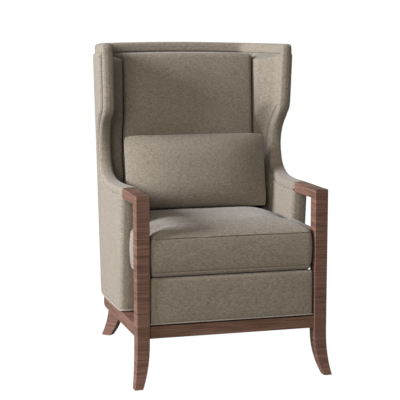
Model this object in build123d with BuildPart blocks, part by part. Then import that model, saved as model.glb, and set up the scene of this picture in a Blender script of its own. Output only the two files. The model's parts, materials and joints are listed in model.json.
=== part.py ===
from build123d import *
import math
import os

os.makedirs("parts", exist_ok=True)

# ---------------------------------------------------------------------------
# Wingback chair. Millimetres, +Z up, the front faces -Y, left is -X.
# Depths are first counted from the front faces of the posts and then moved
# by Y_MID so that the origin is on the floor under the middle of the chair.
# ---------------------------------------------------------------------------

# overall
Y_MID = 398.2          # posts' front face to the middle of the depth
Z_TOP = 1130.0         # top edge at the wings
CROWN = 7.0            # the top edge rises this much at the middle of the back

# front posts and sabre feet
POST_OUT, POST_IN = 335.0, 289.5      # outer and inner face at the arm
POST_OUT_R, POST_IN_R = 333.9, 290.7  # the same at the base rail
POST_DEPTH = 48.0
Z_ARM = 642.8          # top of the post
ARM_RISE = 3.7         # the arm rises this much towards its rear end
FOOT_OUT, FOOT_IN = 349.5, 320.4      # foot sides on the floor
FOOT_FRONT, FOOT_BACK = -22.4, 7.1    # foot front and back on the floor
SABRE = 2.4            # exponent of the sabre curve
GLIDE_T = 2.0          # glide thickness, feet stand on it
GLIDE_R = 9.0

# arm caps
CAP_END = 202.0
CAP_T = 31.5

# base rails
Z_R0, Z_R1 = 164.8, 206.0
RAIL_T = 22.0
RAIL_SET = 7.6         # front rail behind the posts' faces
RAIL_IN = 8.0          # shell rails behind the upholstery surface

# upholstered shell: plan outline at the rail (0) and at the top (1)
Z_S0, Z_S1 = 206.0, 1130.0
X_FRONT = 337.0
X_SIDE = (337.5, 366.0)
Y_TURN = (503.0, 470.0)
ANG_SIDE = (14.5, 16.0)
R_SIDE = 508.0
R_CORNER = 98.0
Y_BACK = (802.0, 818.0)
ANG_BACK = 6.0
BOW = 11.0
# inside surface of the shell
X_FRONT_I = 278.0
X_SIDE_I = (280.5, 324.0)
R_SIDE_I = 458.0
R_CORNER_I = 40.0
Y_BACK_I = (707.0, 740.0)
# layers, measured in from the outside surface
D_SKIN = 8.0
D_BOARD0, D_BOARD1 = 8.3, 28.3
D_PAD = 28.6
D_BACKPAD = 52.0
BORDER = 25.0          # depth of the band along the edges
TOP_BAND = 30.0        # depth of the band along the top
Z_UP = 209.0           # lower edge of the upholstery
Y_CUT = 700.0          # side panels end and the back panel starts here
Y_CUT_I = 655.0

# arm front and wing edge seen from the side: (depth, height)
ARM_FRONT = ((243.0, Z_UP), (202.3, 611.0))
EDGE = [(202.3, 648.0), (248, 648), (294, 647.2), (329, 647.2), (375, 649), (410, 652.5),
        (432, 657.5), (449, 663), (465, 669.8), (481, 680), (495.5, 696), (504, 714.5),
        (509.5, 733), (512, 752), (511, 771), (507, 790), (500, 809.5), (489, 829),
        (473.5, 848), (453, 867), (438, 881), (428, 900), (423.5, 926), (421, 963),
        (420, 1000), (418.5, 1036), (417.5, 1073), (417.5, 1105), (418, 1130)]

# seat
Z_DECK = 366.0
Z_CUSH = 368.0
CUSH_FRONT = 2.0
CUSH_BACK = 498.0
CUSH_HALF = 286.0      # between the posts
EAR_HALF = 318.0       # ears behind the posts
EAR_Y0, EAR_Y1 = 52.0, 196.0
CUSH_BODY = 272.0      # between the arms
# back cushion
BC_HALF = 247.0
BC_Z0, BC_Z1 = 367.0, 1098.0
BC_F0, BC_F1 = 503.0, 553.0
BC_B0, BC_B1 = 680.0, 712.0
# lumbar pillow, lying in a plane that leans back
PIL_HALF = 264.0
PIL_H = 270.0
PIL_Y0, PIL_Z0 = 438.0, 537.0
PIL_LEAN = 9.0
PIL_FRONT, PIL_REAR = 64.0, 38.0


D45 = math.sqrt(0.5)


def yy(v):
    return v - Y_MID


def at(p):
    return (p[0], yy(p[1]))


def mix(pair, z):
    return pair[0] + (pair[1] - pair[0]) * (z - Z_S0) / (Z_S1 - Z_S0)


def outline(z, d=0.0, inside=False):
    """Right half of the plan outline at height z, moved in by d.
    Returns the points front, turn, mid-turn, end of turn, corner start,
    corner middle, corner end and the middle of the back."""
    al = math.radians(mix(ANG_SIDE, z))
    be = math.radians(ANG_BACK)
    xf = X_FRONT_I if inside else X_FRONT
    xs = mix(X_SIDE_I if inside else X_SIDE, z)
    r1 = R_SIDE_I if inside else R_SIDE
    r2 = R_CORNER_I if inside else R_CORNER
    yb = mix(Y_BACK_I if inside else Y_BACK, z)
    ya = mix(Y_TURN, z)
    c1 = (xs - r1, ya)
    cy = yb - BOW - r2 * math.cos(be)
    p2 = (c1[0] + r1 * math.cos(al), c1[1] + r1 * math.sin(al))
    p3y = cy + r2 * math.sin(al)
    p3x = p2[0] - (p3y - p2[1]) * math.tan(al)
    cx = p3x - r2 * math.cos(al)

    def pol(c, r, a):
        return (c[0] + r * math.cos(a), c[1] + r * math.sin(a))

    c2 = (cx, cy)
    am = (al + math.pi / 2 - be) / 2
    return {
        "p0": (xf - d, 190.0), "p1": (xs - d, ya),
        "m1": pol(c1, r1 - d, al / 2), "p2": pol(c1, r1 - d, al),
        "p3": pol(c2, r2 - d, al), "m3": pol(c2, r2 - d, am),
        "p4": pol(c2, r2 - d, math.pi / 2 - be), "p5": (0.0, yb - d), "c2": c2}


def on_side(o, y):
    """Point of the slanting side line at depth y."""
    (xa, ya), (xb, yb) = o["p2"], o["p3"]
    return (xa + (xb - xa) * (y - ya) / (yb - ya), y)


def flip(p, s):
    return (s * p[0], yy(p[1]))


def side_wire(a, b, s, ycut):
    """Closed plan outline of one side of a shell layer."""
    q, k = on_side(a, ycut), on_side(b, ycut)
    Line(flip(a["p0"], s), flip(a["p1"], s))
    ThreePointArc(flip(a["p1"], s), flip(a["m1"], s), flip(a["p2"], s))
    Line(flip(a["p2"], s), flip(q, s))
    Line(flip(q, s), flip(k, s))
    Line(flip(k, s), flip(b["p2"], s))
    ThreePointArc(flip(b["p2"], s), flip(b["m1"], s), flip(b["p1"], s))
    Line(flip(b["p1"], s), flip(b["p0"], s))
    Line(flip(b["p0"], s), flip(a["p0"], s))


def back_wire(a, b, ycut):
    """Closed plan outline of the back of a shell layer, corner to corner."""
    q, k = on_side(a, ycut), on_side(b, ycut)
    Line(flip(q, 1), flip(a["p3"], 1))
    ThreePointArc(flip(a["p3"], 1), flip(a["m3"], 1), flip(a["p4"], 1))
    ThreePointArc(flip(a["p4"], 1), flip(a["p5"], 1), flip(a["p4"], -1))
    ThreePointArc(flip(a["p4"], -1), flip(a["m3"], -1), flip(a["p3"], -1))
    Line(flip(a["p3"], -1), flip(q, -1))
    Line(flip(q, -1), flip(k, -1))
    Line(flip(k, -1), flip(b["p3"], -1))
    ThreePointArc(flip(b["p3"], -1), flip(b["m3"], -1), flip(b["p4"], -1))
    ThreePointArc(flip(b["p4"], -1), flip(b["p5"], -1), flip(b["p4"], 1))
    ThreePointArc(flip(b["p4"], 1), flip(b["m3"], 1), flip(b["p3"], 1))
    Line(flip(b["p3"], 1), flip(k, 1))
    Line(flip(k, 1), flip(q, 1))


def ring_wire(a, b):
    """Closed plan outline of a whole horseshoe layer, from wing to wing."""
    for o, order in ((a, 1), (b, -1)):
        s = order
        Line(flip(o["p0"], s), flip(o["p1"], s))
        ThreePointArc(flip(o["p1"], s), flip(o["m1"], s), flip(o["p2"], s))
        Line(flip(o["p2"], s), flip(o["p3"], s))
        ThreePointArc(flip(o["p3"], s), flip(o["m3"], s), flip(o["p4"], s))
        ThreePointArc(flip(o["p4"], s), flip(o["p5"], s), flip(o["p4"], -s))
        ThreePointArc(flip(o["p4"], -s), flip(o["m3"], -s), flip(o["p3"], -s))
        Line(flip(o["p3"], -s), flip(o["p2"], -s))
        ThreePointArc(flip(o["p2"], -s), flip(o["m1"], -s), flip(o["p1"], -s))
        Line(flip(o["p1"], -s), flip(o["p0"], -s))
    Line(flip(a["p0"], -1), flip(b["p0"], -1))
    Line(flip(b["p0"], 1), flip(a["p0"], 1))


def inside_back_wire(z):
    """Closed plan outline of the inside back, in front of the back frame."""
    a, w, b = outline(z, D_PAD), outline(z, D_BACKPAD), outline(z, 0.0, True)
    q0, q1, k = on_side(a, Y_CUT_I + 0.2), on_side(a, 690.0), on_side(b, Y_CUT_I + 0.2)
    v = (a["c2"][0] + 50.0 * D45, a["c2"][1] + 50.0 * D45)
    Polyline(flip(q0, 1), flip(q1, 1), flip(v, 1), flip(w["p4"], 1))
    ThreePointArc(flip(w["p4"], 1), flip(w["p5"], 1), flip(w["p4"], -1))
    Polyline(flip(w["p4"], -1), flip(v, -1), flip(q1, -1), flip(q0, -1), flip(k, -1), flip(b["p3"], -1))
    ThreePointArc(flip(b["p3"], -1), flip(b["m3"], -1), flip(b["p4"], -1))
    ThreePointArc(flip(b["p4"], -1), flip(b["p5"], -1), flip(b["p4"], 1))
    ThreePointArc(flip(b["p4"], 1), flip(b["m3"], 1), flip(b["p3"], 1))
    Polyline(flip(b["p3"], 1), flip(k, 1), flip(q0, 1))


def inset_edge(pts, d):
    """The wing's edge moved d into the shell."""
    out = []
    for i, p in enumerate(pts):
        a, b = pts[max(i - 1, 0)], pts[min(i + 1, len(pts) - 1)]
        tx, tz = b[0] - a[0], b[1] - a[1]
        n = math.hypot(tx, tz)
        out.append((p[0] + d * tz / n, p[1] - d * tx / n))
    return out


def fair(pts, step):
    """Every step-th point, keeping both ends."""
    keep = pts[::step]
    return keep if keep[-1] == pts[-1] else keep + [pts[-1]]


def side_profile_full(z0, z1):
    """Side view of everything behind the arm front and the wing's edge."""
    edge = [p for p in EDGE if p[1] <= z1 + 0.5]
    if edge[-1][1] < z1 - 0.5:
        edge = edge + [(418.0, z1)]
    Line((yy(EDGE[0][0]), z0), (yy(EDGE[0][0]), EDGE[0][1]))
    Spline(*[(yy(p[0]), p[1]) for p in edge])
    Polyline((yy(edge[-1][0]), edge[-1][1]), (yy(900), edge[-1][1]), (yy(900), z0),
             (yy(EDGE[0][0]), z0))


def side_profile_inset(d, z0, z1):
    """Side view behind the band that runs along the arm and the wing."""
    edge = inset_edge(EDGE[1:], d)
    edge = [p for p in edge if p[1] < z1 - 6]
    edge = edge + [(edge[-1][0], z1)]
    lean = (ARM_FRONT[0][0] - ARM_FRONT[1][0]) / (ARM_FRONT[1][1] - ARM_FRONT[0][1])
    yb = ARM_FRONT[0][0] + d + (ARM_FRONT[0][1] - z0) * lean
    Polyline((yy(edge[0][0]), edge[0][1]), (yy(EDGE[0][0] + d), edge[0][1]),
             (yy(ARM_FRONT[1][0] + d), ARM_FRONT[1][1]), (yy(yb), z0),
             (yy(900), z0), (yy(900), z1), (yy(edge[-1][0]), z1))
    Spline(*[(yy(p[0]), p[1]) for p in edge])


def save(builder, name):
    builder.part.label = name
    export_step(builder.part, "parts/" + name + ".step")
    print(name, round(builder.part.volume / 1000.0, 1), "cm3")


def sabre(z):
    t = max(0.0, (Z_R0 - z) / Z_R0)
    return t ** SABRE


Z_FOOT = [Z_R0, 135, 105, 78, 52, 26, GLIDE_T]
SIDES = (("left", -1), ("right", 1))

# ---------------------------------------------------------------------------
# Front posts with sabre feet
# ---------------------------------------------------------------------------
DOWEL_R = 4.0
DOWEL_HOLE = 4.05
RAIL_DOWEL_Z = (175.0, 195.0)
RAIL_DOWEL_Y = RAIL_SET + RAIL_T / 2
SIDE_DOWEL_X = X_FRONT - RAIL_IN - RAIL_T / 2
CAP_DOWEL_X = (301.0, 323.0)
CAP_DOWEL_Z = 627.0

for side, s in SIDES:
    with BuildPart() as front_leg:
        with BuildSketch(Plane.XZ):
            with BuildLine():
                out = [(s * (POST_OUT_R + (FOOT_OUT - POST_OUT_R) * sabre(z)), z) for z in Z_FOOT]
                inn = [(s * (POST_IN_R + (FOOT_IN - POST_IN_R) * sabre(z)), z) for z in Z_FOOT]
                Line((s * POST_OUT, Z_ARM + 5), out[0])
                Spline(*out)
                Line(out[-1], inn[-1])
                Spline(*inn[::-1])
                Line(inn[0], (s * POST_IN, Z_ARM + 5))
                Line((s * POST_IN, Z_ARM + 5), (s * POST_OUT, Z_ARM + 5))
            make_face()
        extrude(amount=500, both=True)
        with BuildSketch(Plane.YZ):
            with BuildLine():
                fro = [(yy(FOOT_FRONT * sabre(z)), z) for z in Z_FOOT]
                bak = [(yy(POST_DEPTH + (FOOT_BACK - POST_DEPTH) * sabre(z)), z) for z in Z_FOOT]
                Line((yy(0), Z_ARM), fro[0])
                Spline(*fro)
                Line(fro[-1], bak[-1])
                Spline(*bak[::-1])
                Line(bak[0], (yy(POST_DEPTH), Z_ARM + ARM_RISE * POST_DEPTH / CAP_END))
                Line((yy(POST_DEPTH), Z_ARM + ARM_RISE * POST_DEPTH / CAP_END), (yy(0), Z_ARM))
            make_face()
        extrude(amount=500, both=True, mode=Mode.INTERSECT)
        fillet(front_leg.edges().filter_by(lambda e: e.length > 300), radius=1.6)
        # dowel holes for the front rail, the side rail and the arm cap
        with BuildSketch(Plane.YZ.offset(s * 290.0)):
            with Locations(*[(yy(RAIL_DOWEL_Y), z) for z in RAIL_DOWEL_Z]):
                Circle(DOWEL_HOLE)
        extrude(amount=s * 21.0, mode=Mode.SUBTRACT)
        with BuildSketch(Plane.XZ.offset(-yy(POST_DEPTH))):
            with Locations(*[(s * SIDE_DOWEL_X, z) for z in RAIL_DOWEL_Z]):
                Circle(DOWEL_HOLE)
            with Locations(*[(s * x, CAP_DOWEL_Z) for x in CAP_DOWEL_X]):
                Circle(DOWEL_HOLE)
        extrude(amount=20.5, mode=Mode.SUBTRACT)
        # hole for the glide's stem
        with BuildSketch(Plane.XY.offset(GLIDE_T)):
            with Locations((s * (FOOT_OUT + FOOT_IN) / 2, yy((FOOT_FRONT + FOOT_BACK) / 2))):
                Circle(2.05)
        extrude(amount=12.0, mode=Mode.SUBTRACT)
    save(front_leg, "front_leg_" + side)

# ---------------------------------------------------------------------------
# Arm caps
# ---------------------------------------------------------------------------
BOLT_X = 312.0
BOLT_Z = 628.0
for side, s in SIDES:
    with BuildPart() as arm_cap:
        with BuildSketch(Plane.YZ.offset(s * POST_IN)):
            with BuildLine():
                Polyline((yy(POST_DEPTH + 0.05), Z_ARM - CAP_T),
                         (yy(CAP_END), Z_ARM - CAP_T),
                         (yy(CAP_END), Z_ARM + ARM_RISE),
                         (yy(POST_DEPTH + 0.05), Z_ARM + ARM_RISE * POST_DEPTH / CAP_END),
                         close=True)
            make_face()
        extrude(amount=s * (POST_OUT - POST_IN))
        fillet(arm_cap.edges().filter_by(lambda e: e.length > 100), radius=1.6)
        with BuildSketch(Plane.XZ.offset(-yy(POST_DEPTH))):
            with Locations(*[(s * x, CAP_DOWEL_Z) for x in CAP_DOWEL_X]):
                Circle(DOWEL_HOLE)
        extrude(amount=-20.5, mode=Mode.SUBTRACT)
        with BuildSketch(Plane.XZ.offset(-yy(CAP_END))):
            with Locations((s * BOLT_X, BOLT_Z)):
                Circle(3.05)
        extrude(amount=30.5, mode=Mode.SUBTRACT)
    save(arm_cap, "arm_cap_" + side)

with BuildPart() as arm_cap_dowels:
    for side, s in SIDES:
        with BuildSketch(Plane.XZ.offset(-yy(POST_DEPTH - 20.0))):
            with Locations(*[(s * x, CAP_DOWEL_Z) for x in CAP_DOWEL_X]):
                Circle(DOWEL_R)
        extrude(amount=-40.0)
save(arm_cap_dowels, "arm_cap_dowels")

# bolt from the wing board through the arm padding into the cap's rear end
with BuildPart() as arm_cap_bolts:
    for side, s in SIDES:
        with BuildSketch(Plane.XZ.offset(-yy(CAP_END - 30.0))):
            with Locations((s * BOLT_X, BOLT_Z - 0.0)):
                Circle(3.0)
        extrude(amount=-75.0)
save(arm_cap_bolts, "arm_cap_bolts")

# ---------------------------------------------------------------------------
# Base rails
# ---------------------------------------------------------------------------
with BuildPart() as front_base_rail:
    with BuildSketch(Plane.YZ.offset(-290.4)):
        with BuildLine():
            Polyline((yy(RAIL_SET), Z_R0), (yy(RAIL_SET + RAIL_T), Z_R0),
                     (yy(RAIL_SET + RAIL_T), Z_R1), (yy(RAIL_SET), Z_R1), close=True)
        make_face()
    extrude(amount=580.8)
    fillet(front_base_rail.edges().filter_by(Axis.X), radius=1.2)
    for s in (-1, 1):
        with BuildSketch(Plane.YZ.offset(s * 290.4)):
            with Locations(*[(yy(RAIL_DOWEL_Y), z) for z in RAIL_DOWEL_Z]):
                Circle(DOWEL_HOLE)
        extrude(amount=-s * 20.5, mode=Mode.SUBTRACT)
save(front_base_rail, "front_base_rail")

RAIL_O = outline(Z_S0, RAIL_IN)
RAIL_I = outline(Z_S0, RAIL_IN + RAIL_T)
for side, s in SIDES:
    with BuildPart() as side_base_rail:
        with BuildSketch(Plane.XY.offset(Z_R0)):
            with BuildLine():
                side_wire(RAIL_O, RAIL_I, s, 660.0)
            make_face()
            with Locations((s * 320.0, yy(0))):
                Rectangle(120, (48.1) * 2)
        extrude(amount=Z_R1 - Z_R0)
        with BuildSketch(Plane.XY.offset(Z_R0 - 1)):
            with Locations((s * 320.0, yy(0))):
                Rectangle(300, 48.1 * 2)
        extrude(amount=Z_R1 - Z_R0 + 2, mode=Mode.SUBTRACT)
        with BuildSketch(Plane.XY.offset(Z_R0 - 1)):
            with BuildLine():
                Polyline((s * 200, yy(40)), (s * (X_FRONT - RAIL_IN - RAIL_T), yy(40)),
                         (s * (X_FRONT - RAIL_IN - RAIL_T), yy(190.0)), (s * 200, yy(190.0)), close=True)
            make_face()
        extrude(amount=Z_R1 - Z_R0 + 2, mode=Mode.SUBTRACT)
        with BuildSketch(Plane.XY.offset(Z_R0)):
            with BuildLine():
                Polyline((s * (X_FRONT - RAIL_IN), yy(48.1)), (s * (X_FRONT - RAIL_IN), yy(190.0)),
                         (s * (X_FRONT - RAIL_IN - RAIL_T), yy(190.0)),
                         (s * (X_FRONT - RAIL_IN - RAIL_T), yy(48.1)), close=True)
            make_face()
        extrude(amount=Z_R1 - Z_R0)
        # wider under the open arm, where its top face is seen
        with BuildSketch(Plane.XY.offset(Z_R0)):
            with BuildLine():
                xi = X_FRONT - RAIL_IN - RAIL_T + 2.0
                Polyline((s * 276.0, yy(48.1)), (s * xi, yy(48.1)), (s * xi, yy(268.0)), (s * 276.0, yy(268.0)),
                         close=True)
            make_face()
        extrude(amount=Z_R1 - Z_R0)
        with BuildSketch(Plane.XZ.offset(-yy(48.1))):
            with Locations(*[(s * SIDE_DOWEL_X, z) for z in RAIL_DOWEL_Z]):
                Circle(DOWEL_HOLE)
        extrude(amount=-20.5, mode=Mode.SUBTRACT)
    save(side_base_rail, "side_base_rail_" + side)

with BuildPart() as rear_base_rail:
    with BuildSketch(Plane.XY.offset(Z_R0)):
        with BuildLine():
            back_wire(RAIL_O, RAIL_I, 660.1)
        make_face()
    extrude(amount=Z_R1 - Z_R0)
save(rear_base_rail, "rear_base_rail")

with BuildPart() as rail_dowels:
    for s in (-1, 1):
        with BuildSketch(Plane.YZ.offset(s * 270.2)):
            with Locations(*[(yy(RAIL_DOWEL_Y), z) for z in RAIL_DOWEL_Z]):
                Circle(DOWEL_R)
        extrude(amount=s * 40.0)
        with BuildSketch(Plane.XZ.offset(-yy(POST_DEPTH - 20.0))):
            with Locations(*[(s * SIDE_DOWEL_X, z) for z in RAIL_DOWEL_Z]):
                Circle(DOWEL_R)
        extrude(amount=-40.0)
save(rail_dowels, "rail_dowels")

# ---------------------------------------------------------------------------
# Rear legs, set diagonally under the rear corners
# ---------------------------------------------------------------------------
FOOT_R = (296.0, 772.0)      # outer front corner of the rear foot on the floor
LEG_TOP_OUT, LEG_TOP_IN = -38.0, -88.0   # along the kick, at the rail
LEG_FOOT_IN = -37.0
LEG_W_TOP, LEG_W_FOOT = 38.0, 27.0


def diagonal(s):
    """Vertical plane through the rear foot: local x runs out and back."""
    return Plane(origin=(s * FOOT_R[0], yy(FOOT_R[1]), 0), x_dir=(s * D45, D45, 0),
                 z_dir=(D45, -s * D45, 0))


def rear_t(z):
    return max(0.0, (Z_R0 - z) / Z_R0)


LEG_MID = (LEG_TOP_OUT + LEG_TOP_IN) / 2
for side, s in SIDES:
    with BuildPart() as rear_leg:
        with BuildSketch(diagonal(s)):
            with BuildLine():
                o = [(LEG_TOP_OUT * (1 - rear_t(z) ** 2.3), z) for z in Z_FOOT]
                i = [(LEG_TOP_IN + (LEG_FOOT_IN - LEG_TOP_IN) * rear_t(z) ** 2.7, z) for z in Z_FOOT]
                Spline(*o)
                Line(o[-1], i[-1])
                Spline(*i[::-1])
                Line(i[0], o[0])
            make_face()
        extrude(amount=120, both=True)
        # width across, from the visible side face inwards
        across = Plane(origin=(s * FOOT_R[0], yy(FOOT_R[1]), 0), x_dir=(-s * D45, D45, 0),
                       z_dir=(D45, s * D45, 0))
        with BuildSketch(across):
            with BuildLine():
                w = [(LEG_W_TOP + (LEG_W_FOOT - LEG_W_TOP) * rear_t(z) ** 1.5, z) for z in Z_FOOT]
                Spline(*w)
                Line(w[-1], (0, GLIDE_T))
                Line((0, GLIDE_T), (0, Z_R0))
                Line((0, Z_R0), w[0])
            make_face()
        extrude(amount=200, both=True, mode=Mode.INTERSECT)
        with BuildSketch(Plane.XY.offset(Z_R0 - 40.5)):
            with Locations((s * (FOOT_R[0] + D45 * (LEG_MID - 10) - D45 * LEG_W_TOP / 2),
                            yy(FOOT_R[1] + D45 * (LEG_MID - 10) + D45 * LEG_W_TOP / 2))):
                Circle(4.05)
        extrude(amount=41.0, mode=Mode.SUBTRACT)
        with BuildSketch(Plane.XY.offset(GLIDE_T)):
            with Locations((s * (FOOT_R[0] + D45 * (-18.5) - D45 * 13.5),
                            yy(FOOT_R[1] + D45 * (-18.5) + D45 * 13.5))):
                Circle(2.05)
        extrude(amount=12.0, mode=Mode.SUBTRACT)
    save(rear_leg, "rear_leg_" + side)

with BuildPart() as foot_glides:
    spots = []
    for s in (-1, 1):
        spots.append((s * (FOOT_OUT + FOOT_IN) / 2, yy((FOOT_FRONT + FOOT_BACK) / 2)))
        spots.append((s * (FOOT_R[0] - D45 * 32.0), yy(FOOT_R[1] - D45 * 5.0)))
    with BuildSketch(Plane.XY):
        with Locations(*spots):
            Circle(GLIDE_R)
    extrude(amount=GLIDE_T)
    with BuildSketch(Plane.XY.offset(GLIDE_T)):
        with Locations(*spots):
            Circle(2.0)
    extrude(amount=11.0)
save(foot_glides, "foot_glides")

# blocks that hold the rear legs, and their hanger bolts
Z_BLOCK = 300.0
LEG_C = outline(Z_S0)["c2"]
BLOCK_R0, BLOCK_R1, BLOCK_W = 18.0, 66.0, 74.0


def corner_plane(s, z):
    """Plane at the rear corner: local x runs out along the diagonal."""
    return Plane(origin=(s * LEG_C[0], yy(LEG_C[1]), z), x_dir=(s * D45, D45, 0), z_dir=(0, 0, 1))


with BuildPart() as rear_leg_blocks:
    for s in (-1, 1):
        with BuildSketch(corner_plane(s, Z_R0 + 0.1)):
            with BuildLine():
                Polyline((BLOCK_R0, -BLOCK_W / 2), (BLOCK_R1 - 13, -BLOCK_W / 2), (BLOCK_R1, 0),
                         (BLOCK_R1 - 13, BLOCK_W / 2), (BLOCK_R0, BLOCK_W / 2), close=True)
            make_face()
        extrude(amount=Z_BLOCK - Z_R0 - 0.1)
    for s in (-1, 1):
        with BuildSketch(Plane.XY.offset(Z_R0)):
            with Locations((s * (FOOT_R[0] + D45 * (LEG_MID - 10) - D45 * LEG_W_TOP / 2),
                            yy(FOOT_R[1] + D45 * (LEG_MID - 10) + D45 * LEG_W_TOP / 2))):
                Circle(4.05)
        extrude(amount=40.5, mode=Mode.SUBTRACT)
save(rear_leg_blocks, "rear_leg_blocks")

with BuildPart() as leg_hanger_bolts:
    for s in (-1, 1):
        with BuildSketch(Plane.XY.offset(Z_R0 - 40.0)):
            with Locations((s * (FOOT_R[0] + D45 * (LEG_MID - 10) - D45 * LEG_W_TOP / 2),
                            yy(FOOT_R[1] + D45 * (LEG_MID - 10) + D45 * LEG_W_TOP / 2))):
                Circle(4.0)
        extrude(amount=80.0)
save(leg_hanger_bolts, "leg_hanger_bolts")

# ---------------------------------------------------------------------------
# Seat frame
# ---------------------------------------------------------------------------
SR_Z0, SR_Z1 = 206.3, 350.0
SR_X = 275.0
SR_T = 25.0
SRF_Y0 = 32.0
SRF_Y1 = SRF_Y0 + SR_T
SRB_Y0 = 560.3
BLOCK = 62.0


def box_part(x0, x1, y0, y1, z0, z1):
    with BuildSketch(Plane.XY.offset(z0)) as plan:
        with BuildLine():
            Polyline((x0, yy(y0)), (x1, yy(y0)), (x1, yy(y1)), (x0, yy(y1)), close=True)
        make_face()
    extrude(plan.sketch, amount=z1 - z0)


def screw_plane(s, f):
    """Plane on the long face of a corner block, local z runs into the corner."""
    cx, cy = (SR_X - SR_T), (SRF_Y1 if f < 0 else 560.0)
    return Plane(origin=(s * (cx - BLOCK / 2), yy(cy - f * BLOCK / 2), 250.0),
                 x_dir=(f * D45, -s * D45, 0), z_dir=(s * D45, f * D45, 0))


def drill_screws(r, depth, sides, fronts, mode):
    for s in sides:
        for f in fronts:
            with BuildSketch(screw_plane(s, f)) as spots:
                with Locations((-14, 0), (14, 0)):
                    Circle(r)
            extrude(spots.sketch, amount=depth, mode=mode)


with BuildPart() as seat_rail_front:
    box_part(-289.2, 289.2, SRF_Y0, SRF_Y1, SR_Z0, SR_Z1)
    drill_screws(2.05, 62.5, (-1, 1), (-1,), Mode.SUBTRACT)
save(seat_rail_front, "seat_rail_front")

for side, s in SIDES:
    with BuildPart() as seat_rail_side:
        box_part(min(s * SR_X, s * (SR_X - SR_T)), max(s * SR_X, s * (SR_X - SR_T)),
                 SRF_Y1 + 0.1, 560.0, SR_Z0, SR_Z1)
        drill_screws(2.05, 62.5, (s,), (-1, 1), Mode.SUBTRACT)
    save(seat_rail_side, "seat_rail_" + side)

with BuildPart() as seat_rail_back:
    box_part(-269.0, 269.0, SRB_Y0, SRB_Y0 + SR_T, SR_Z0, SR_Z1)
    drill_screws(2.05, 62.5, (-1, 1), (1,), Mode.SUBTRACT)
save(seat_rail_back, "seat_rail_back")

with BuildPart() as corner_blocks:
    for s in (-1, 1):
        for f in (-1, 1):
            cx = SR_X - SR_T - 0.1
            cy = SRF_Y1 + 0.2 if f < 0 else 559.9
            with BuildSketch(Plane.XY.offset(230.0)):
                with BuildLine():
                    Polyline((s * cx, yy(cy)), (s * (cx - BLOCK), yy(cy)), (s * cx, yy(cy - f * BLOCK)), close=True)
                make_face()
            extrude(amount=40.0)
    drill_screws(2.05, 62.5, (-1, 1), (-1, 1), Mode.SUBTRACT)
save(corner_blocks, "corner_blocks")

with BuildPart() as corner_block_screws:
    drill_screws(2.0, 56.0, (-1, 1), (-1, 1), Mode.ADD)
    for s in (-1, 1):
        for f in (-1, 1):
            with BuildSketch(screw_plane(s, f).offset(-2.9)):
                with Locations((-14, 0), (14, 0)):
                    Circle(4.2)
            extrude(amount=2.6)
save(corner_block_screws, "corner_block_screws")

# ---------------------------------------------------------------------------
# Seat springs, clips, cross ties, deck and dust cover
# ---------------------------------------------------------------------------
SPRING_X = (-190.0, -95.0, 0.0, 95.0, 190.0)
WIRE_R = 1.8
Z_WIRE = 353.6
SP_Y0, SP_Y1 = 40.0, 578.0

with BuildPart() as spring:
    n = 22
    step = (SP_Y1 - SP_Y0 - 24.0) / n
    pts = [(-21.0, yy(SP_Y0 + 12.0), Z_WIRE)]
    for k in range(n):
        y = SP_Y0 + 12.0 + step * (k + 0.0)
        e = -21.0 if k % 2 == 0 else 21.0
        pts.append((-e, yy(y), Z_WIRE))
        pts.append((-e, yy(y + step), Z_WIRE))
    pts.append((pts[-1][0] * -1, pts[-1][1], Z_WIRE))
    with BuildLine():
        path = FilletPolyline(*pts, radius=step * 0.46)
    with BuildSketch(Plane(origin=pts[0], x_dir=(0, 1, 0), z_dir=(1, 0, 0))):
        Circle(WIRE_R)
    sweep()

with BuildPart() as seat_springs:
    for x in SPRING_X:
        with Locations((x, 0, 0)):
            add(spring.part)
save(seat_springs, "seat_springs")

with BuildPart() as spring_clips:
    for x in SPRING_X:
        for y, f in ((SP_Y0 + 12.0, -1), (SP_Y1 - 12.0, 1)):
            y_bend = y + f * 5.0
            with BuildSketch(Plane.YZ.offset(x - 9.0)):
                with BuildLine():
                    Polyline((yy(y - f * 7), 350.2), (yy(y_bend + f * 1.4), 350.2), (yy(y_bend + f * 1.4), 357.6),
                             (yy(y - f * 7), 357.6), (yy(y - f * 7), 356.2), (yy(y_bend), 356.2),
                             (yy(y_bend), 351.5), (yy(y - f * 7), 351.5), close=True)
                make_face()
            extrude(amount=18.0)
save(spring_clips, "spring_clips")

with BuildPart() as spring_ties:
    for y in (205.0, 405.0):
        with BuildSketch(Plane.YZ.offset(-248.0)):
            with Locations((yy(y), Z_WIRE - WIRE_R - 1.15)):
                Circle(1.0)
        extrude(amount=496.0)
save(spring_ties, "spring_ties")

with BuildPart() as seat_deck:
    with BuildSketch(Plane.XY.offset(358.2)):
        with BuildLine():
            Polyline((-277.0, yy(33.0)), (277.0, yy(33.0)), (277.0, yy(510.0)), (252.0, yy(654.0)),
                     (-252.0, yy(654.0)), (-277.0, yy(510.0)), close=True)
        make_face()
    extrude(amount=Z_DECK - 358.2)
save(seat_deck, "seat_deck")

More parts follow.
